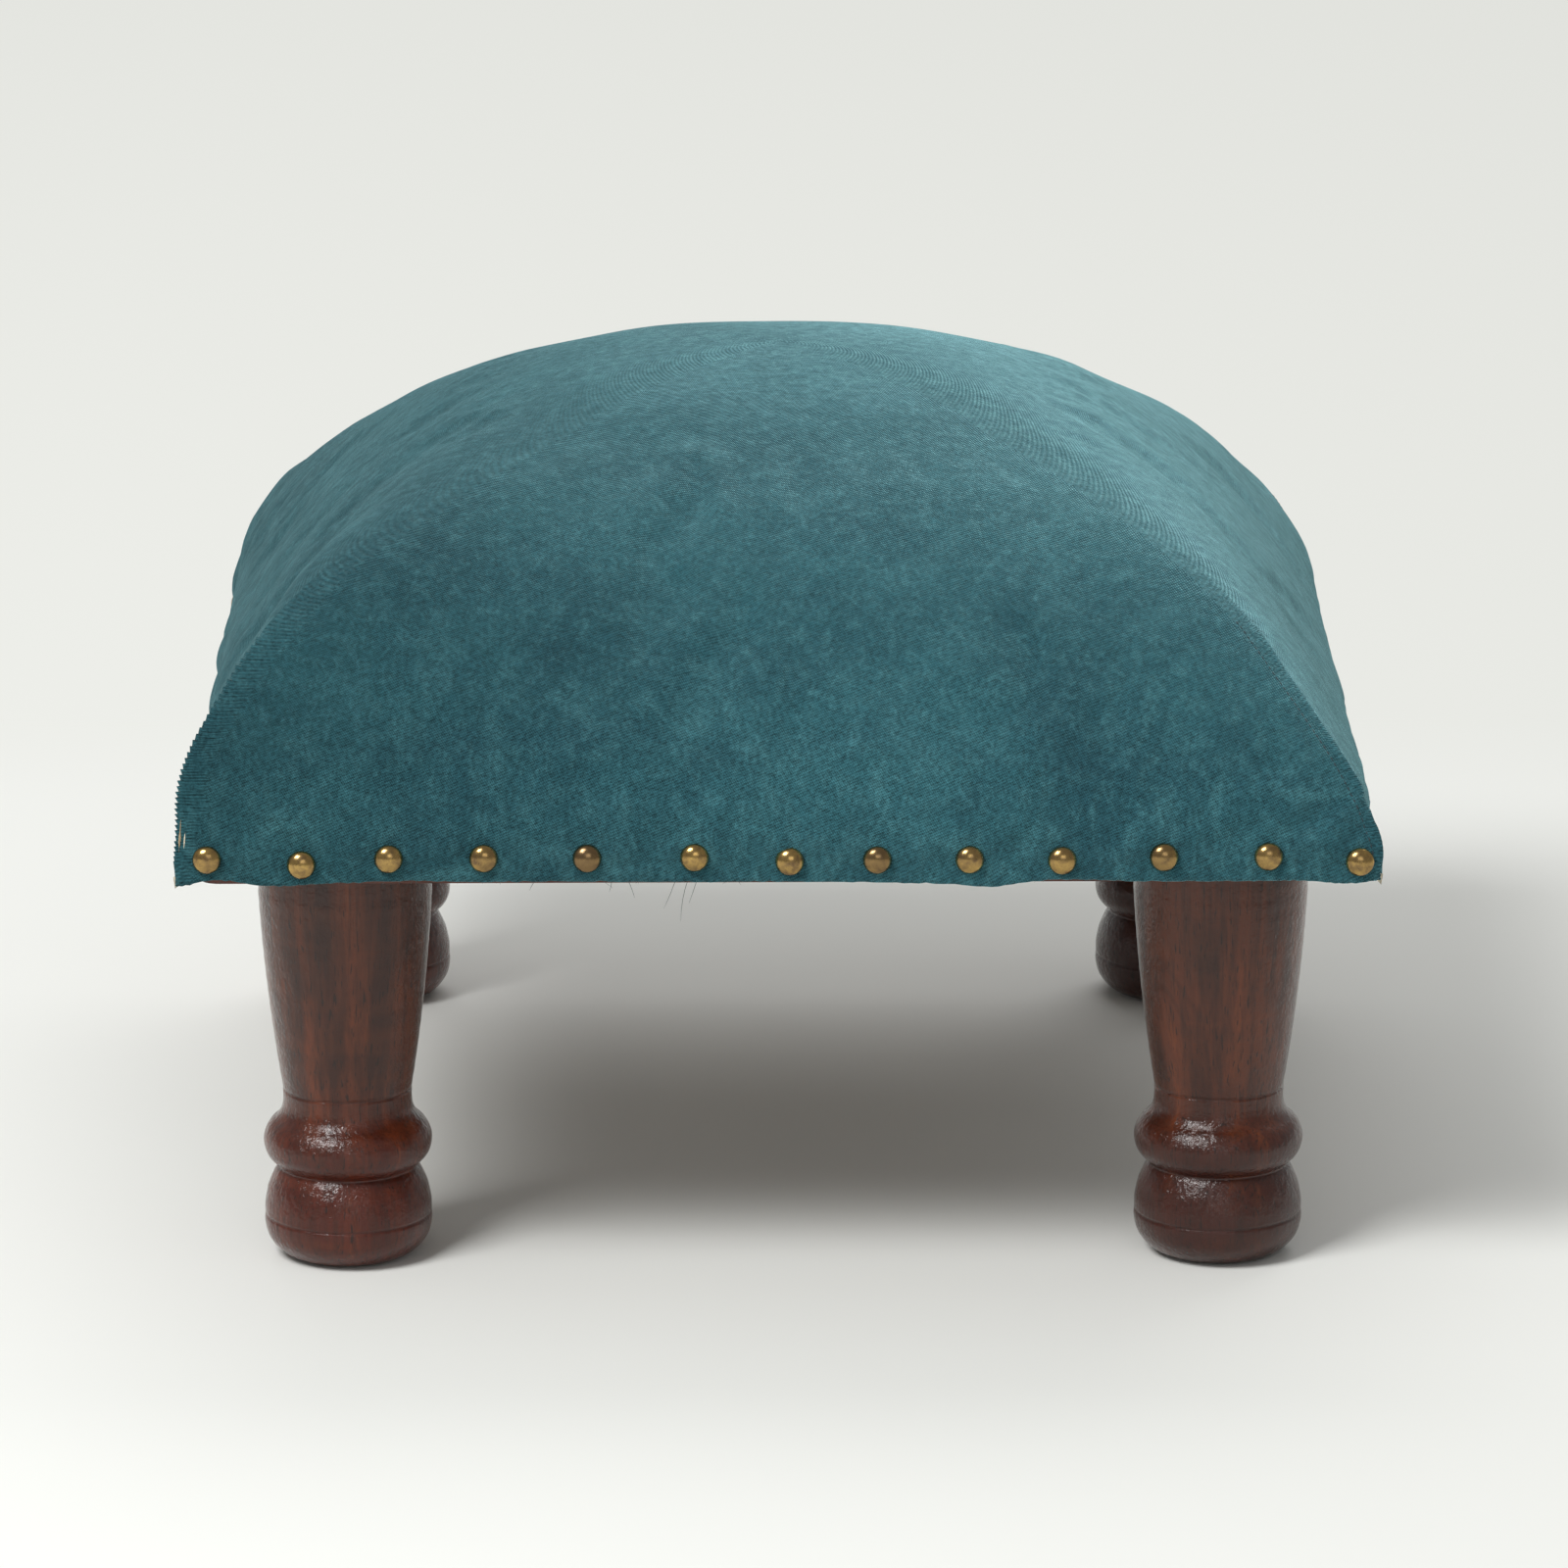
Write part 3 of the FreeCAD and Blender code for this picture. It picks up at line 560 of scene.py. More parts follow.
def wadding_finish():
    finish = Finish("wadding_fibre", Roughness=1, Sheen_Weight=0.4)
    fibres = finish.noise(finish.spread(finish.place, (1, 1, 3)), 220, 6, 0.75, 1.5)
    colour = finish.mix(fibres, paint(222, 220, 212), paint(243, 242, 236))
    return finish.finish(colour, None, finish.bump(fibres, 0.8, 0.0015))


def foam_finish():
    finish = Finish("seat_foam", Roughness=0.95)
    cells = finish.node("TexVoronoi", {"Vector": finish.place, "Scale": 700})
    yellowing = finish.noise(finish.place, 14, 3)
    colour = finish.mix(yellowing, paint(226, 205, 150), paint(238, 226, 190))
    return finish.finish(colour, None, finish.bump(cells, 0.6, 0.0006))


def wood_grain(finish, axis, ring=55, seed=0):
    """Growth rings round a line aslant to the piece, fine fibres along axis, and pores.
    Gives the three fields."""
    stretch = [1, 1, 1]
    stretch[axis] = 0.07
    shift = (0.31 * seed, 0.17 * seed, 0.23 * seed)
    long_place = finish.spread(finish.place, tuple(stretch), shift=shift)
    warp = finish.noise(long_place, 26, 3, 0.5, 0.4)
    rings = finish.node(
        "TexWave", {"Vector": long_place, "Scale": ring, "Distortion": 5, "Detail": 3,
                    "Detail Scale": 1.4, "Detail Roughness": 0.6, "Phase Offset": warp},
        output=1, wave_type="BANDS", bands_direction="Y" if axis == 0 else "X",
    )
    fibres = finish.noise(long_place, 620, 5, 0.75)
    fine = [1, 1, 1]
    fine[axis] = 0.12
    pores = finish.noise(finish.spread(finish.place, tuple(fine), shift=shift), 1300, 1, 0.5)
    return rings, fibres, finish.ramp(pores, 0.66, 0.72)


def leg_finish(look, seed):
    """Stained hardwood under brushed lacquer: upright streaks and fibres, faint curl, short
    dark pores, redder low down where the turning cuts the grain, and an uneven skin that
    breaks up highlights. The right legs, whose seeds are odd, are darker, most of all low
    down: painted shade, mixed towards the pore colour."""
    finish = Finish(
        "leg_stained_wood_%d" % seed, Roughness=0.5, Coat_Weight=look.lacquer,
        Coat_Roughness=look.lacquer_roughness, Coat_IOR=1.45, Specular_IOR_Level=0.15,
    )
    shift = (0.37 * seed, 0.21 * seed, 0)

    def drawn_out(across, up):
        return finish.spread(finish.place, (across, across, up), shift=shift)

    upright = drawn_out(1, 0.045)
    veins = finish.noise(upright, 95, 4, 0.6, 0.3)
    fibres = finish.noise(upright, 520, 4, 0.7)
    oval = finish.noise(drawn_out(1, 0.28), 26, 2, 0.5, 1.4)
    figure = finish.math("SINE", finish.math("MULTIPLY", oval, 38))
    pores = finish.noise(drawn_out(1, 0.1), 1300, 1, 0.5)
    curl = finish.noise(drawn_out(0.4, 1.6), 60, 2, 0.5, 0.6)
    low = finish.ramp(finish.split(finish.place, 2), 0.065, 0.035)
    colour = finish.mix(finish.ramp(veins, 0.4, 0.58), look.stain_dark, look.stain)
    colour = finish.mix(finish.math("MULTIPLY", low, 0.7), colour, look.stain_red)
    colour = finish.layers(
        colour, (veins, (0.62, 0.8, 0, 0.7), look.stain_light),
        (figure, (0.3, 1, 0, 0.3), look.stain_dark),
        (curl, (0.5, 0.8, 0, 0.15), look.stain_light),
        (fibres, (0.48, 0.66, 0, 0.65), look.stain_dark),
        (pores, (0.64, 0.7, 0, 0.8), look.pore_and_shade),
    )
    odd = seed % 2
    # Painted shade: the right legs (odd seeds) are mixed towards the pore colour, more so low down
    painted_shade_right_legs = finish.math("MULTIPLY_ADD", low, 0.4 * odd, 0.12 * odd)
    colour = finish.mix(painted_shade_right_legs, colour, look.pore_and_shade)
    skin = finish.noise(finish.place, 620, 3, 0.6, 0.4)
    swell = finish.noise(finish.place, 120, 2, 0.5)
    wood = finish.bump(finish.math("SUBTRACT", fibres, pores), 0.15, 0.0003)
    coat = finish.math("MULTIPLY_ADD", swell, 1.5, skin)
    coat = finish.bump(coat, look.lacquer_unevenness, 0.0005)
    return finish.finish(colour, finish.ramp(veins, 0.2, 0.8, 0.42, 0.58), wood, coat)


def plain_wood_finish(name, axis, pale, deep, dark, seed, gloss=0.55, ring=70):
    """Sawn or planed wood with its grain along axis."""
    finish = Finish(name, Roughness=gloss)
    rings, fibres, pores = wood_grain(finish, axis, ring, seed)
    fibre_shade = (fibres, (0.5, 0.8, 0, 0.5), dark)
    colour = finish.layers(pale, (rings, (0.2, 0.9), deep), fibre_shade)
    colour = finish.mix(finish.math("MULTIPLY", pores, 0.5), colour, dark)
    roughness = finish.ramp(fibres, 0.2, 0.8, gloss - 0.08, gloss + 0.1)
    return finish.finish(colour, roughness, finish.bump(fibres, 0.25, 0.0004))


def plywood_finish():
    """Veneered board: pale faces, and alternate plies with dark glue lines at its edge."""
    finish = Finish("plywood", Roughness=0.6)
    rings, fibres, _ = wood_grain(finish, 0, 40, 3)
    face = finish.layers(
        paint(118, 106, 92), (rings, (0.2, 0.9), paint(98, 86, 74)),
        (fibres, (0.5, 0.8, 0, 0.4), paint(72, 62, 52)),
    )
    ply = finish.math("FRACT", finish.math("MULTIPLY", finish.split(finish.place, 2), 1 / 0.0016))
    edge = finish.mix(finish.ramp(ply, 0.82, 0.9), paint(196, 160, 113), paint(92, 62, 38))
    upright = finish.math("ABSOLUTE", finish.split(finish.node("NewGeometry", {}, "Normal"), 2))
    colour = finish.mix(finish.ramp(upright, 0.3, 0.7), edge, face)
    return finish.finish(colour, None, finish.bump(fibres, 0.25, 0.0004))


def brass_finish(look):
    """Antiqued brass: brown lacquer rubbed through to gold, more on some nails than others,
    with small dark spots."""
    finish = Finish("aged_brass_nails", Metallic=1)
    cloud = finish.noise(finish.place, 330, 4, 0.65, 0.4)
    spots = finish.noise(finish.place, 1500, 2, 0.6)
    each = finish.noise(finish.place, 21, 0)
    colour = finish.layers(
        look.brass, (cloud, (0.3, 0.72), look.brass_dark),
        (spots, (0.64, 0.74, 0, 0.6), look.brass_spots),
        (each, (0.42, 0.62, 0, 0.75), look.brass_dark),
    )
    roughness = finish.ramp(cloud, 0.3, 0.75, look.polish, look.polish + 0.14)
    return finish.finish(colour, roughness, finish.bump(cloud, 0.12, 0.0004))


def metal_finish(name, colour, dark, roughness):
    """Plated steel with a slightly cloudy skin."""
    finish = Finish(name, Metallic=1)
    cloud = finish.noise(finish.place, 240, 4, 0.6, 0.8)
    drawn = finish.noise(finish.spread(finish.place, (1, 1, 0.1)), 1800, 2)
    shade = finish.mix(finish.ramp(cloud, 0.35, 0.7), colour, dark)
    rough = finish.ramp(cloud, 0.3, 0.7, roughness, roughness + 0.15)
    return finish.finish(shade, rough, finish.bump(drawn, 0.2, 0.0002))


# Sizes and colours that a user would change


def colour_property(name, description, default):
    return FloatVectorProperty(
        name=name, description=description, default=default, subtype="COLOR", size=3, min=0, max=1
    )


def amount(name, description, default, **limits):
    return FloatProperty(name=name, description=description, default=default, **limits)


def part_of_one(name, description, default):
    return amount(name, description, default, min=0, max=1)


class FootstoolVelvet(PropertyGroup):
    pile: colour_property("Pile", "Colour of the pile", paint(46, 90, 98))
    pile_dark: colour_property("Crushed Pile", "Where the pile lies away", paint(34, 71, 80))
    pile_light: colour_property("Raised Pile", "Where the pile stands up", paint(68, 116, 123))
    sheen_colour: colour_property("Sheen Colour", "Colour of the pale rim", (0.45, 0.86, 0.92))
    sheen: part_of_one("Sheen", "Strength of the pale rim", 0.95)
    sheen_roughness: part_of_one("Sheen Spread", "How far the rim spreads", 0.42)
    # Painted shade: how dark the left of the cover is painted
    painted_left_shade: part_of_one("Pile on the Left", "Tone of the pile that lies away", 0.64)
    weave_pitch: amount("Weave Pitch", "Distance between threads", 0.00115, unit="LENGTH")
    undulation: amount("Undulation", "Height of the soft waves", 0.0006, unit="LENGTH")
    grid: IntProperty(name="Grid", description="Grid lines across", default=201, min=41, max=241)


class FootstoolNails(PropertyGroup):
    brass: colour_property("Brass", "Colour of the rubbed brass", (0.5, 0.33, 0.11))
    brass_dark: colour_property("Patina", "Colour of the brown lacquer", (0.17, 0.11, 0.06))
    brass_spots: colour_property("Spots", "Colour of the dark spots", (0.07, 0.045, 0.025))
    polish: part_of_one("Polish", "Roughness of the domes", 0.16)
    tilt: amount("Tilt", "How far a nail may lean", math.radians(3), subtype="ANGLE")


class FootstoolLegs(PropertyGroup):
    stain: colour_property("Stain", "Red-brown stain", paint(90, 41, 17))
    stain_dark: colour_property("Dark Stain", "Stain in the open grain", paint(50, 20, 7))
    stain_red: colour_property("Red Stain", "Stain where the end grain shows", paint(76, 19, 3))
    stain_light: colour_property("Light Streaks", "Streaks of paler wood", paint(138, 68, 26))
    # The pore colour is also the colour of the right legs' painted shade
    pore_and_shade: colour_property("Pores", "Colour of the pores", paint(26, 12, 7))
    lacquer: part_of_one("Lacquer", "Strength of the lacquer", 0.85)
    lacquer_roughness: part_of_one("Lacquer Roughness", "Roughness of the lacquer", 0.07)
    lacquer_unevenness: part_of_one("Lacquer Unevenness", "Strength of its ripples", 0.8)
    sides: IntProperty(name="Sides", description="Sides of a leg", default=112, min=24, max=160)


class FootstoolStage(PropertyGroup):
    floor: colour_property("Floor", "Colour of the floor", paint(236, 237, 233))
    wall: colour_property("Backdrop", "Colour of the backdrop", paint(228, 229, 224))
    key: amount("Key Light", "Power of the key light", 51.0, unit="POWER")
    back: amount("Back Light", "Power of the back light", 18.0, unit="POWER")
    fill: amount("Front Fill", "Power of the fill", 9.0, unit="POWER")
    ambient: amount("Ambient", "Strength of the world", 0.36, min=0)


# Stage


def area_light(name, place, aim, size, power):
    lamp = bpy.data.lights.new(name, "AREA")
    lamp.shape = "RECTANGLE"
    lamp.size, lamp.size_y = size
    lamp.energy = power
    made = new_object(name, lamp)
    made.location = place
    made.rotation_euler = (Vector(aim) - Vector(place)).to_track_quat("-Z", "Y").to_euler()


def floor_finish(look):
    """Matt paper. Past the line behind the stool, the camera sees the backdrop's tones, with
    painted falloff of light: a little darker upwards and to the right."""
    finish = Finish("pale_floor", Roughness=0.85, Specular_IOR_Level=0.05)
    side, depth = finish.split(finish.place, 0), finish.split(finish.place, 1)
    mottle = finish.ramp(finish.noise(finish.place, 3.0, 2.0), 0.3, 0.7)
    finish.finish(finish.mix(mottle, look.floor, tuple(c * 0.985 for c in look.floor)))
    # Painted falloff of light on the backdrop: darker further back (upwards) and to the right
    backdrop_with_painted_falloff = finish.mix(finish.ramp(depth, 0.5, 2.2), paint(238, 239, 234), look.wall)
    backdrop_with_painted_falloff = finish.layers(backdrop_with_painted_falloff, (side, (-0.3, 0.45, 0.0, 0.35), paint(220, 221, 216)))
    backdrop = finish.node("Emission", {"Color": backdrop_with_painted_falloff, "Strength": 1.0})
    seen = finish.node("LightPath", {}, "Is Camera Ray")
    share = finish.math("MULTIPLY", seen, finish.ramp(depth, 0.44, 0.56))
    both = finish.node("MixShader", {0: share, 1: finish.shader.outputs[0], 2: backdrop})
    finish.put(finish.tree.nodes["Material Output"].inputs["Surface"], both)
    return finish.material


class FOOTSTOOL_OT_stage(Operator):
    """Make the floor, the lights, the world and the camera"""

    bl_idname = "footstool.stage"
    bl_label = "Stage"

    def execute(self, context):
        look = context.scene.footstool_stage
        half = FLOOR_HALF
        corners = [(-half, -half, 0), (half, -half, 0), (half, half, 0), (-half, half, 0)]
        mesh = bpy.data.meshes.new("floor")
        mesh.from_pydata(corners, [], [(0, 1, 2, 3)])
        mesh.materials.append(floor_finish(look))
        floor = new_object("floor", mesh)
        self.light(context.scene, look)

        camera_data = bpy.data.cameras.new("camera")
        camera_data.lens = CAMERA_LENS
        camera_data.sensor_width = 36.0
        camera_data.clip_end = 50.0
        camera = new_object("camera", camera_data)
        tilt, turn = math.radians(CAMERA_TILT), math.radians(CAMERA_TURN)
        flat = math.cos(tilt)
        ahead = Vector((math.sin(turn) * flat, math.cos(turn) * flat, -math.sin(tilt)))
        camera.location = Vector(CAMERA_AIM) - CAMERA_DISTANCE * ahead
        camera.rotation_euler = ahead.to_track_quat("-Z", "Y").to_euler()
        context.scene.camera = camera
        context.scene.view_settings.view_transform = "Standard"
        return {"FINISHED"}

    def light(self, scene, look):
        """The world, which the camera sees as the backdrop's tone, and three area lights."""
        world = bpy.data.worlds.new("studio")
        scene.world = world
        world.use_nodes = True
        tree = world.node_tree
        tree.nodes.clear()
        seen = tree.nodes.new("ShaderNodeLightPath")
        choice = tree.nodes.new("ShaderNodeMixShader")
        output = tree.nodes.new("ShaderNodeOutputWorld")
        tree.links.new(seen.outputs["Is Camera Ray"], choice.inputs[0])
        tree.links.new(choice.outputs[0], output.inputs["Surface"])
        shades = ((1.0, 1.0, 0.99), look.ambient), (look.wall, 1.0)
        for slot, (colour, strength) in enumerate(shades, 1):
            background = tree.nodes.new("ShaderNodeBackground")
            background.inputs["Color"].default_value = (*colour, 1.0)
            background.inputs["Strength"].default_value = strength
            tree.links.new(background.outputs[0], choice.inputs[slot])
        for name, (place, aim, size) in LIGHTS.items():
            area_light(name, place, aim, size, getattr(look, name))


# Stuffing


class FOOTSTOOL_OT_stuffing(Operator):
    """Make the foam core and the wadding over it"""

    bl_idname = "footstool.stuffing"
    bl_label = "Foam and Wadding"

    def execute(self, context):
        a, b = square_grid(STUFFING_GRID)
        rows, columns = border(STUFFING_GRID)
        under_wadding = FRAME_INSET + WADDING_THICKNESS
        dome, _ = layer_surface(a, b, under_wadding + LAYER_GAP, PANEL_TOP)
        edge = dome[rows, columns]
        wide, deep = np.abs(edge[:, :2]).max(axis=0) * 0.97
        base = np.stack((a * wide, b * deep, np.full_like(a, PANEL_TOP)), -1)
        base[rows, columns] = edge * (0.999, 0.999, 1.0)
        points, faces = shell(dome, [], base)
        foam = make_piece("foam_dome", points, faces, [foam_finish()])
        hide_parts("foam_core")

        outer, _ = layer_surface(a, b, FRAME_INSET, RAIL_TOP)
        inner, _ = layer_surface(a, b, under_wadding, PANEL_TOP)
        edge = inner[rows, columns]
        room = PANEL_HALF + LAYER_GAP
        room = np.clip(outer[rows, columns][:, :2], -room, room)
        low = np.column_stack((room, np.full(len(room), RAIL_TOP)))
        high = np.column_stack((room, np.full(len(room), PANEL_TOP)))
        high[:, :2] = np.where(np.abs(room) < np.abs(edge[:, :2]), edge[:, :2], room)
        points, faces = shell(outer, [low, high], inner)
        layer = make_piece("wadding_layer", points, faces, [wadding_finish()])
        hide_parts("wadding")
        return {"FINISHED"}


class FOOTSTOOL_OT_lining(Operator):
    """Make the calico that is pulled over the wadding and stapled to the rails"""

    bl_idname = "footstool.lining"
    bl_label = "Calico Lining"

    def execute(self, context):
        a, b = square_grid(LINING_GRID)
        base, share = layer_surface(a, b, 0.0, LINING_HEM)
        depth = LINING_INSET + LINING_CORNER_INSET * share[..., None] ** 8
        outer = base - depth * grid_normals(base)
        inner = outer - LINING_THICKNESS * grid_normals(outer)
        inner[..., 2] = np.maximum(inner[..., 2], LINING_HEM)
        points, faces = shell(outer, [], inner)
        corner = points[faces.ravel()]
        uv = (corner[:, :2] + corner[:, 2:]) * MM
        calico = woven_finish("calico", (260.0, 4.0, 0.7), (203, 192, 168), (228, 219, 198), 0.0008)
        lining = make_piece("calico_lining", points, faces, [calico], uv=uv)
        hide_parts("lining")
        return {"FINISHED"}


# Velvet cover


def nail_places():
    """Foot of each nail head by side: nails at even steps between the margins, plus each
    nail's own drift along the rail and up. Those on the sides are pressed into the cloth,
    because the photograph shows none of them past the seat's outline."""
    places = {}
    for side, (out, along, count, margin) in SIDES.items():
        out, along = np.array(out, float), np.array(along, float)
        reach = abs(out) @ SEAT_HALF
        first = margin - abs(along) @ SEAT_HALF
        drift = np.array(NAIL_DRIFT[:count])
        run = first + np.arange(count) * (-2 * first / (count - 1)) + drift[:, 0]
        sunk = SIDE_NAILS_SUNK * (out[0] != 0)
        flat = out * (reach - sunk) + along * run[:, None]
        places[side] = np.column_stack((flat, NAIL_HEIGHT + drift[:, 1]))
    return places


def settled_cloth(count):
    """Small moves of the velvet along its normal, on a count by count grid. A coarse cloth in
    the seat's shape is pinned at its nails and over its crown, has a little more cloth than
    it needs, and is blown out by the stuffing's pressure. What is left of its moves when the
    broad ones are smoothed away is kept, up to CLOTH_FOLD either way."""
    a, b = square_grid(COARSE_CLOTH)
    base, _ = layer_surface(a, b, 0.0, COVER_HEM)
    flat = base.reshape(-1, 3)
    mesh = bpy.data.meshes.new("cloth_trial")
    mesh.from_pydata((flat * MM).tolist(), [], grid_faces(COARSE_CLOTH, COARSE_CLOTH).tolist())
    trial = new_object("cloth_trial", mesh)
    scene = bpy.context.scene
    nails = np.concatenate(list(nail_places().values()))
    gap = np.linalg.norm(flat[:, None] - nails[None], axis=-1).min(axis=1)
    height = flat[:, 2]
    held = (gap < PIN_REACH) | (height < COVER_HEM + 0.5) | (height > PINNED_ABOVE)
    pins = trial.vertex_groups.new(name="pins")
    pins.add(np.flatnonzero(held).tolist(), 1.0, "REPLACE")
    cloth = trial.modifiers.new("cloth", "CLOTH")
    for label, value in (
        ("quality", 6), ("mass", 0.3), ("tension_stiffness", 12), ("compression_stiffness", 12),
        ("shear_stiffness", 4), ("bending_stiffness", 0.4), ("shrink_min", -0.02),
        ("use_pressure", True), ("uniform_pressure_force", 3.0), ("vertex_group_mass", "pins"),
    ):
        setattr(cloth.settings, label, value)
    cloth.settings.effector_weights.gravity = 0.0
    cloth.collision_settings.use_collision = False
    cloth.point_cache.frame_start, cloth.point_cache.frame_end = 1, CLOTH_FRAMES
    for number in range(1, CLOTH_FRAMES + 1):
        scene.frame_set(number)
    settled = trial.evaluated_get(bpy.context.evaluated_depsgraph_get()).data
    found = np.empty(flat.size, np.float32)
    settled.vertices.foreach_get("co", found)
    scene.frame_set(1)
    bpy.data.objects.remove(trial)
    bpy.data.meshes.remove(mesh)
    moved = found.reshape(base.shape) / MM - base
    move = (moved * grid_normals(base)).sum(-1)
    broad = move.copy()
    for _ in range(SMOOTHING_ROUNDS):
        padded = np.pad(broad, 1, mode="edge")
        broad = (padded[:-2, 1:-1] + padded[2:, 1:-1] + padded[1:-1, :-2] + padded[1:-1, 2:]) / 4
    detail = np.clip(move - broad, -CLOTH_FOLD, CLOTH_FOLD)
    at = np.linspace(0, COARSE_CLOTH - 1, count)
    low = np.minimum(at.astype(int), COARSE_CLOTH - 2)
    part = at - low
    rows = detail[low] * (1 - part)[:, None] + detail[low + 1] * part[:, None]
    return rows[:, low] * (1 - part) + rows[:, low + 1] * part


def cover_shape(a, b, undulation):
    """Outside of the velvet: the crown, the full corner, then small moves along the normal.
    The moves are soft waves, a hollow round each nail, puckers that fan out above it, the
    settled cloth, and a ridge along the corner seams with a groove beside it. Hollows are
    kept under COVER_HOLLOW by a hyperbolic tangent. The cut hem waves up and down."""
    points, share = layer_surface(a, b, 0.0, COVER_HEM)
    normal = grid_normals(points)
    z = points[..., 2]
    tall = points * (1.0, 1.0, 0.45)
    low_band = 1 - soft_step(z, 175, 230)
    field = uneven(tall, 60.0, 3) * (0.35 + 0.65 * low_band) + 0.45 * uneven(tall, 26.0, 5) * low_band
    move = undulation * field * soft_step(z, 146, 162)
    pull = np.zeros_like(z)
    fan = np.zeros_like(z)
    dice = np.random.default_rng(11)
    for side, places in nail_places().items():
        out = np.array(SIDES[side][0], float)
        facing = points[..., :2] @ out > 0.9 * (abs(out) @ SEAT_HALF) - 12
        along = np.array(SIDES[side][1], float)
        for place in places:
            sideways = (points[..., :2] - place[:2]) @ along
            upward = z - place[2]
            distance = np.hypot(sideways, upward)
            pull += facing * np.exp(-((distance / 6.0) ** 2))
            angle = np.arctan2(sideways, upward)
            ripple = np.cos(angle * dice.integers(4, 7) + dice.uniform(0, 6.28))
            fade = np.exp(-(((distance - 11) / 7.0) ** 2)) * (upward > 0)
            fan += facing * ripple * fade * dice.uniform(0.1, 0.45)
    move = move - 0.7 * pull + 0.4 * fan
    move = move + settled_cloth(len(a)) * soft_step(z, 147, 156)
    seam = (1 - share) * np.abs(points[..., 0]).clip(1, None)
    seam_fade = soft_step(z, 144, 156) * (1 - soft_step(z, 215, 240))
    clockwise = np.where(np.abs(a) > np.abs(b), -np.sign(a * b), np.sign(a * b))
    groove = np.exp(-(((seam - 3.0) / 1.8) ** 2)) * (clockwise < 0)
    ridge = np.exp(-((seam / 1.6) ** 2))
    seam_fade = seam_fade * np.where(b < 0, 1.0, 0.4)
    move = move + seam_fade * (0.6 * ridge - 0.5 * groove)
    move = np.where(move < 0, COVER_HOLLOW * np.tanh(move / COVER_HOLLOW), move)
    points = points + normal * move[..., None]
    hem = np.zeros_like(z)
    front = b <= -np.abs(a) + 1e-9
    for middle, half, lift in HEM_WAVES:
        hem += front * lift * np.exp(-(((points[..., 0] - middle) / half) ** 2))
    rough = 0.5 * uneven(points * (1, 1, 0), 55.0, 21) + 0.25 * uneven(points * (1, 1, 0), 17.0, 22)
    fray = 0.12 * uneven(points * (1, 1, 0), 2.6, 23)
    hem = np.where(front, hem + 0.15 * rough, 0.8 * rough) + fray
    points[..., 2] += hem * (1 - soft_step(z, COVER_HEM, 152.0))
    return points


def cloth_map(points, faces, outer, a, b):
    """Map of the velvet in metres. Across it goes X on the front and the back, and Y on the
    sides; up it goes the run from the hem to the grid line, along the cover's middle."""
    half = len(a) // 2
    middle = np.abs(points[faces].mean(axis=1)[:, :2]) / SEAT_HALF
    by_x = middle[:, 1] > middle[:, 0]
    run = np.linalg.norm(np.diff(outer[half], axis=0), axis=1)
    travel = np.concatenate(([0], np.cumsum(run[:half])))
    ring = np.maximum(np.abs(a), np.abs(b))
    line = np.sort(np.unique(np.round(ring, 9)))[::-1]
    up = np.interp(-ring, -line, travel[:len(line)]).ravel()
    up = np.concatenate((up, np.zeros(len(points) - 2 * len(up)), up))
    corner = points[faces]
    sideways = np.where(by_x[:, None], corner[..., 0], corner[..., 1])
    return np.stack((sideways, up[faces]), axis=-1).reshape(-1, 2) * MM


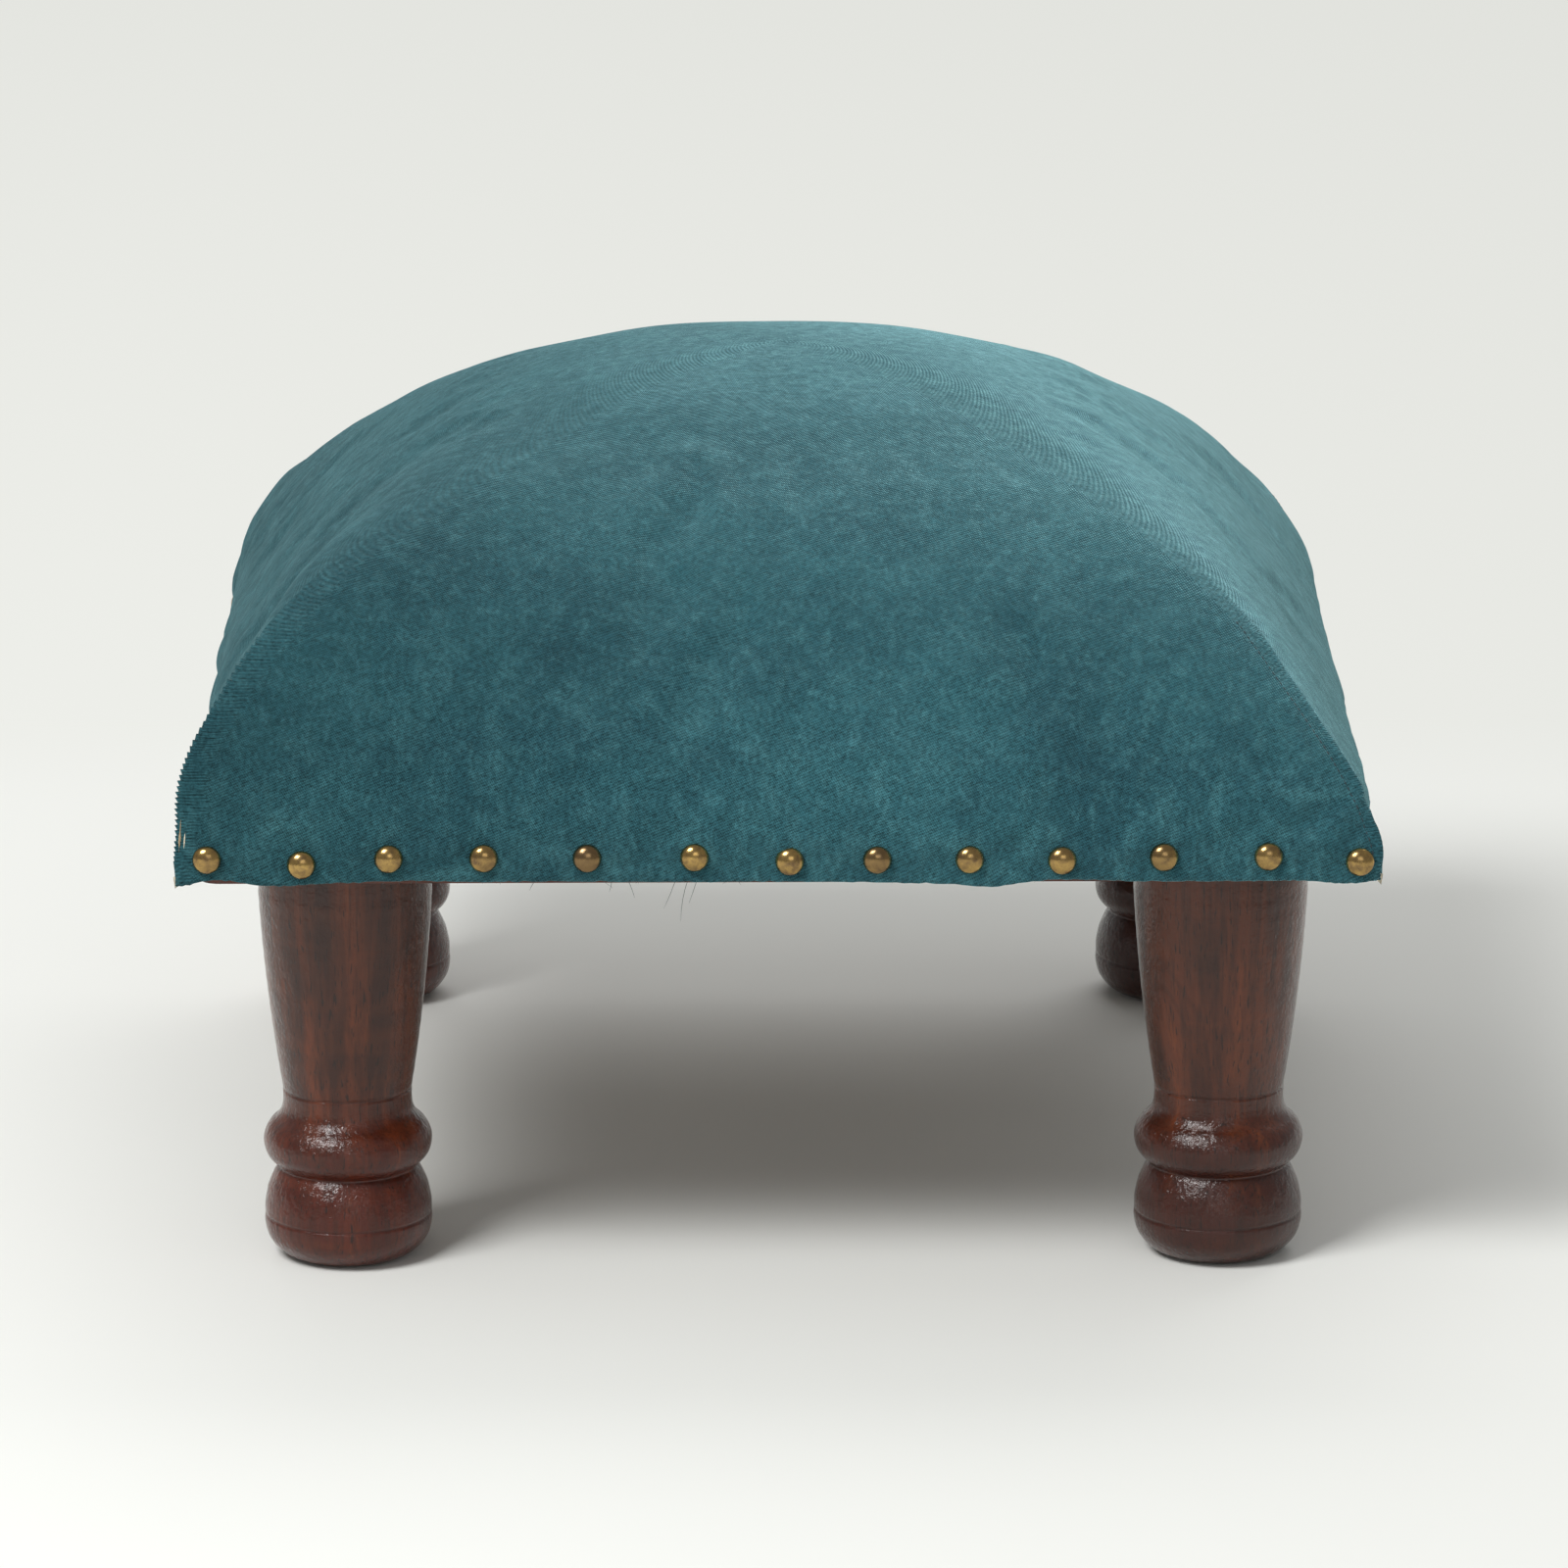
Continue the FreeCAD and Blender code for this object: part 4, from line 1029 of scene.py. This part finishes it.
class FOOTSTOOL_OT_cover(Operator):
    """Make the velvet cover, the backing that shows at its cut edge, and its seams"""

    bl_idname = "footstool.cover"
    bl_label = "Velvet Cover"

    def execute(self, context):
        look = context.scene.footstool_velvet
        count = look.grid
        a, b = square_grid(count)
        outer = cover_shape(a, b, look.undulation / MM)
        normal = grid_normals(outer)
        inner = outer - COVER_THICKNESS * normal
        rows, columns = border(count)
        edge, inner_edge = outer[rows, columns], inner[rows, columns]
        inner[rows, columns, 2] = edge[:, 2]
        outward = normal[rows, columns]
        lip = edge - 0.45 * outward - (0, 0, 0.35)
        lip_inner = inner_edge * (1, 1, 0) + edge * (0, 0, 1) + 0.3 * outward - (0, 0, 0.45)
        points, faces = shell(outer, [lip, lip_inner], inner)
        slot = np.zeros(len(faces), int)
        slot[(count - 1) ** 2 + len(rows):] = 1
        backing = woven_finish(
            "cloth_backing", (700.0, 2.0), (150, 128, 98), (186, 165, 132), 0.0009
        )
        uv = cloth_map(points, faces, outer, a, b)
        cover = make_piece("velvet_seat", points, faces, [velvet_finish(look), backing], slot, uv)
        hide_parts("velvet_cover")
        self.sew(outer, normal, count)
        return {"FINISHED"}

    def sew(self, outer, normal, count):
        """Stitches along the four corner seams: short ellipsoids at even steps, three grid
        lines to one side of the ridge and half sunk in the pile, or wholly at the front left
        corner, where they would stand out past the edge."""
        steps = np.arange(count // 2 - 6)
        turn = np.linspace(0, math.pi, 5)
        bead, faces = turned(
            np.stack((STITCH_RADIUS * np.sin(turn), -STITCH_HALF_LENGTH * np.cos(turn)), -1), 6
        )
        frames, places = [], []
        for sign_a, sign_b in ((-1, -1), (1, -1), (1, 1), (-1, 1)):
            beside = (0, 3) if sign_a * sign_b > 0 else (3, 0)
            i, j = steps + beside[0], steps + beside[1]
            i = i if sign_a < 0 else count - 1 - i
            j = j if sign_b < 0 else count - 1 - j
            path, up = outer[i, j], normal[i, j]
            keep = (path[:, 2] > SEAM_FOOT) & (path[:, 2] < SEAM_TOP)
            path, up = path[keep], up[keep]
            run = np.concatenate(([0], np.cumsum(np.linalg.norm(np.diff(path, axis=0), axis=1))))
            at = np.arange(1.0, run[-1] - 1.0, STITCH_PITCH)
            place = smooth_curve(run, path, at)
            face = unit(smooth_curve(run, up, at))
            ahead = unit(smooth_curve(run, path, at + 0.5) - place)
            hidden = sign_a < 0 and sign_b < 0
            depth = HIDDEN_STITCH_DEPTH if hidden else STITCH_DEPTH
            places.append(place - depth * face)
            frames.append(np.stack((np.cross(ahead, face), face, ahead), axis=1))
        points, every = repeated(bead, faces, np.concatenate(frames), np.concatenate(places))
        thread = thread_finish("sewing_thread", 2500.0, (14, 32, 38), (30, 58, 66))
        stitches = make_piece("corner_stitches", points, every, [thread])


class FOOTSTOOL_OT_fray(Operator):
    """Make the loose threads and the fuzz that hang from the cut hem"""

    bl_idname = "footstool.fray"
    bl_label = "Frayed Threads"

    def execute(self, context):
        dice = np.random.default_rng(8)
        place_and_length = (
            (-82, 3), (-60, 2.5), (-57, 4), (-51.5, 6), (-36, 10), (-32, 12), (-29, 7),
        )
        across, loose = np.array(place_and_length, float).T
        starts = [np.stack((across, 0 * across - 213.6, 0 * across + 143.4), axis=-1)]
        lengths = [loose]
        for out, along, _, _ in SIDES.values():
            out, along = np.array(out), np.array(along)
            half = abs(along) @ SEAT_HALF
            run = dice.uniform(-half + 3, half - 3, FUZZ_COUNT)
            flat = out * (abs(out) @ SEAT_HALF - 0.7) + along * run[:, None]
            starts.append(np.column_stack((flat, np.full(FUZZ_COUNT, 143.6))))
            lengths.append(dice.uniform(0.5, 1.6, FUZZ_COUNT))
        start, length = np.concatenate(starts), np.concatenate(lengths)
        total = len(start)
        share = np.linspace(0, 1, 5)[None, :, None]
        lean = dice.normal(0, 0.45, (total, 3)) * (1, 0.5, 0)
        curl = dice.normal(0, 0.25, (total, 3)) * (1, 0.6, 0.2)
        bend = share * (lean[:, None] - (0, 0, 1)) + share**2 * curl[:, None]
        path = start[:, None] + length[:, None, None] * bend
        angle = np.linspace(0, 2 * math.pi, 4, endpoint=False)
        circle = np.stack((np.cos(angle), np.sin(angle), np.zeros(4)), axis=-1)
        thick = np.where(length > 2, 0.09, 0.07)[:, None] * np.array((1, 1, 0.9, 0.7, 0.3))
        points = (path[:, :, None] + thick[..., None, None] * circle).reshape(-1, 3)
        number = np.arange(total * 20).reshape(total, 5, 4)
        after = np.roll(number, -1, axis=2)
        walls = (number[:, :-1], number[:, 1:], after[:, 1:], after[:, :-1])
        walls = np.stack(walls, -1).reshape(-1, 4)
        ends = np.concatenate((number[:, 0], number[:, -1, ::-1]))
        thread = thread_finish("frayed_thread", 180.0, (30, 44, 46), (62, 70, 68))
        fray = make_piece("hem_threads", points, np.concatenate((walls, ends)), [thread])
        return {"FINISHED"}


# Nails


class FOOTSTOOL_OT_nails(Operator):
    """Make the domed nails along each side"""

    bl_idname = "footstool.nails"
    bl_label = "Domed Nails"

    def execute(self, context):
        look = context.scene.footstool_nails
        brass = brass_finish(look)
        tip = NAIL_SHANK_LENGTH - NAIL_TIP_LENGTH
        angle = np.linspace(0, math.pi / 2, 14)
        dome = np.stack((NAIL_RADIUS * np.cos(angle), 0.25 + (NAIL_DOME - 0.25) * np.sin(angle)), -1)
        profile = np.concatenate((
            [(0, -NAIL_SHANK_LENGTH), (NAIL_SHANK_RADIUS, -tip), (NAIL_SHANK_RADIUS, 0.3)],
            [(NAIL_RADIUS - 0.9, 0.3), (NAIL_RADIUS - 0.5, -0.05), (NAIL_RADIUS - 0.08, 0.0)], dome,
        ))
        profile[-1, 0] = 0
        shape, faces = turned(profile, 32)
        dice = np.random.default_rng(5)
        for side, places in nail_places().items():
            out = np.array((*SIDES[side][0], 0), float)
            along = np.array((*SIDES[side][1], 0), float)
            lean = dice.normal(0, look.tilt / 2, (len(places), 2))
            axis = unit(out + lean[:, :1] * along + lean[:, 1:] * np.array((0, 0, 1.0)))
            across = unit(along - (axis @ along)[:, None] * axis)
            frames = np.stack((across, np.cross(axis, across), axis), axis=1)
            points, every = repeated(shape, faces, frames, places)
            nails = make_piece("domed_nails_" + side, points, every, [brass])
            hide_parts("nails_" + side)
        return {"FINISHED"}


# Legs


def scribe(radius, height):
    """A fine cut round the turning, 0.9 wide and 0.5 deep, from below to above."""
    return np.array(((radius, height - 0.45), (radius - 0.5, height), (radius, height + 0.45)))


def leg_profile():
    """Half section of the leg, from the foot's middle up its outside and down the bore."""
    ball, neck = scribe(28.0, 14.5), scribe(21.6, 58.0)
    runs = [
        straight((0, 0), (16.6, 0), 8),
        arc_through((17.5, 0), (25.9, 0.38 * ball[0, 1]), ball[0], 26),
        ball[1:2],
        arc_through(ball[2], (27.24, (ball[2, 1] + 29.8) / 2), (24.2, 29.8), 26),
        straight((23.75, 30.35), (23.2, 31.0), 3),
        straight((23.65, 31.6), (24.0, 32.0), 2),
        arc_through((24.2, 32.2), (28.1, 41.5), (24.4, 47.5), 30),
        arc_through((24.4, 47.5), (22.44, 50.1), (21.6, 54.0), 10)[1:],
        straight((21.6, 54.6), neck[0], 5),
        neck[1:2],
        arc_through(neck[2], (24.9, 81.0), (29.0, 126.0), 60),
        straight((29.0, 127.0), (29.0, 141.4), 14),
        arc_through((29.0, 141.5), (28.85, 141.85), (28.5, 142.0), 4),
        straight((27.0, 142.0), (4.4, 142.0), 10),
        straight((4.05, 141.6), (4.05, 102.5), 12),
        [(3.4, 102.0), (0, 102.0)],
    ]
    return np.concatenate(runs)


class FOOTSTOOL_OT_legs(Operator):
    """Make the four turned legs"""

    bl_idname = "footstool.legs"
    bl_label = "Turned Legs"

    def execute(self, context):
        look = context.scene.footstool_legs
        profile = leg_profile()
        for number, (node, signs) in enumerate(LEG_NODES.items()):
            dice = np.random.default_rng(40 + number)
            phase = dice.uniform(0, 6.28, 4)

            def wobble(angle, height):
                """Slight out of round of hand turning, and faint rings left by the gouge."""
                oval = 0.09 * np.cos(2 * angle + phase[0])
                oval = oval + 0.05 * np.cos(3 * angle + height / 30 + phase[1])
                rings = 0.035 * np.sin(height / 0.9 + 0.8 * np.sin(angle + phase[2]))
                return (oval + rings) * (height > 0.5)

            points, faces = turned(profile, look.sides, wobble)
            wood = leg_finish(look, number)
            place = np.array((signs[0] * LEG_PLACE[0], signs[1] * LEG_PLACE[1], 0))
            leg = make_piece(node.replace("leg_", "turned_leg_"), points + place, faces, [wood])
            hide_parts(node)
        return {"FINISHED"}


# Frame and fixings


class FOOTSTOOL_OT_frame(Operator):
    """Finish the rails, blocks, board and fixings"""

    bl_idname = "footstool.frame"
    bl_label = "Frame and Fixings"

    def execute(self, context):
        stained = (paint(92, 50, 38), paint(66, 36, 28), paint(36, 20, 16))
        raw = (paint(120, 104, 88), paint(98, 82, 66), paint(70, 56, 44))
        long_rail = plain_wood_finish("rail_wood_long", 0, *stained, 1.0, 0.5)
        short_rail = plain_wood_finish("rail_wood_short", 1, *stained, 2.0, 0.5)
        finishes = {
            "block_wood": plain_wood_finish("block_wood_raw", 2, *raw, 4.0),
            "dowel_wood": plain_wood_finish("dowel_wood_raw", 0, *raw, 5.0),
            "plywood": plywood_finish(),
            "zinc_steel": metal_finish("zinc_plate", (0.62, 0.62, 0.6), (0.42, 0.42, 0.4), 0.3),
            "staple_wire": metal_finish("staple_steel", (0.5, 0.5, 0.5), (0.33, 0.33, 0.34), 0.35),
        }
        for name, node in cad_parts.items():
            for slot in node.material_slots:
                kind = slot.material.name
                if kind == "frame_wood":
                    slot.material = long_rail if name in ("rail_front", "rail_back") else short_rail
                elif kind in finishes:
                    slot.material = finishes[kind]
        return {"FINISHED"}


class FOOTSTOOL_PT_panel(Panel):
    """Lists the footstool's operators in the sidebar"""

    bl_idname = "FOOTSTOOL_PT_panel"
    bl_label = "Footstool"
    bl_space_type = "VIEW_3D"
    bl_region_type = "UI"
    bl_category = "Footstool"

    def draw(self, context):
        for operator in OPERATORS:
            self.layout.operator(operator.bl_idname)
        for group in GROUPS:
            settings = getattr(context.scene, group)
            for label in settings.__annotations__:
                self.layout.prop(settings, label)


OPERATORS = (
    FOOTSTOOL_OT_stage, FOOTSTOOL_OT_frame, FOOTSTOOL_OT_stuffing, FOOTSTOOL_OT_lining,
    FOOTSTOOL_OT_cover, FOOTSTOOL_OT_fray, FOOTSTOOL_OT_nails, FOOTSTOOL_OT_legs,
)
GROUPS = {
    "footstool_velvet": FootstoolVelvet,
    "footstool_nails": FootstoolNails,
    "footstool_legs": FootstoolLegs,
    "footstool_stage": FootstoolStage,
}


def register():
    for kind in (*GROUPS.values(), *OPERATORS, FOOTSTOOL_PT_panel):
        bpy.utils.register_class(kind)
    for name, kind in GROUPS.items():
        setattr(bpy.types.Scene, name, PointerProperty(type=kind))


def unregister():
    for name in GROUPS:
        delattr(bpy.types.Scene, name)
    for kind in (FOOTSTOOL_PT_panel, *reversed(OPERATORS), *GROUPS.values()):
        bpy.utils.unregister_class(kind)


def main():
    register()
    bpy.ops.footstool.stage()
    bpy.ops.footstool.frame()
    bpy.ops.footstool.stuffing()
    bpy.ops.footstool.lining()
    bpy.ops.footstool.cover()
    bpy.ops.footstool.fray()
    bpy.ops.footstool.nails()
    bpy.ops.footstool.legs()


if __name__ == "__main__":
    main()
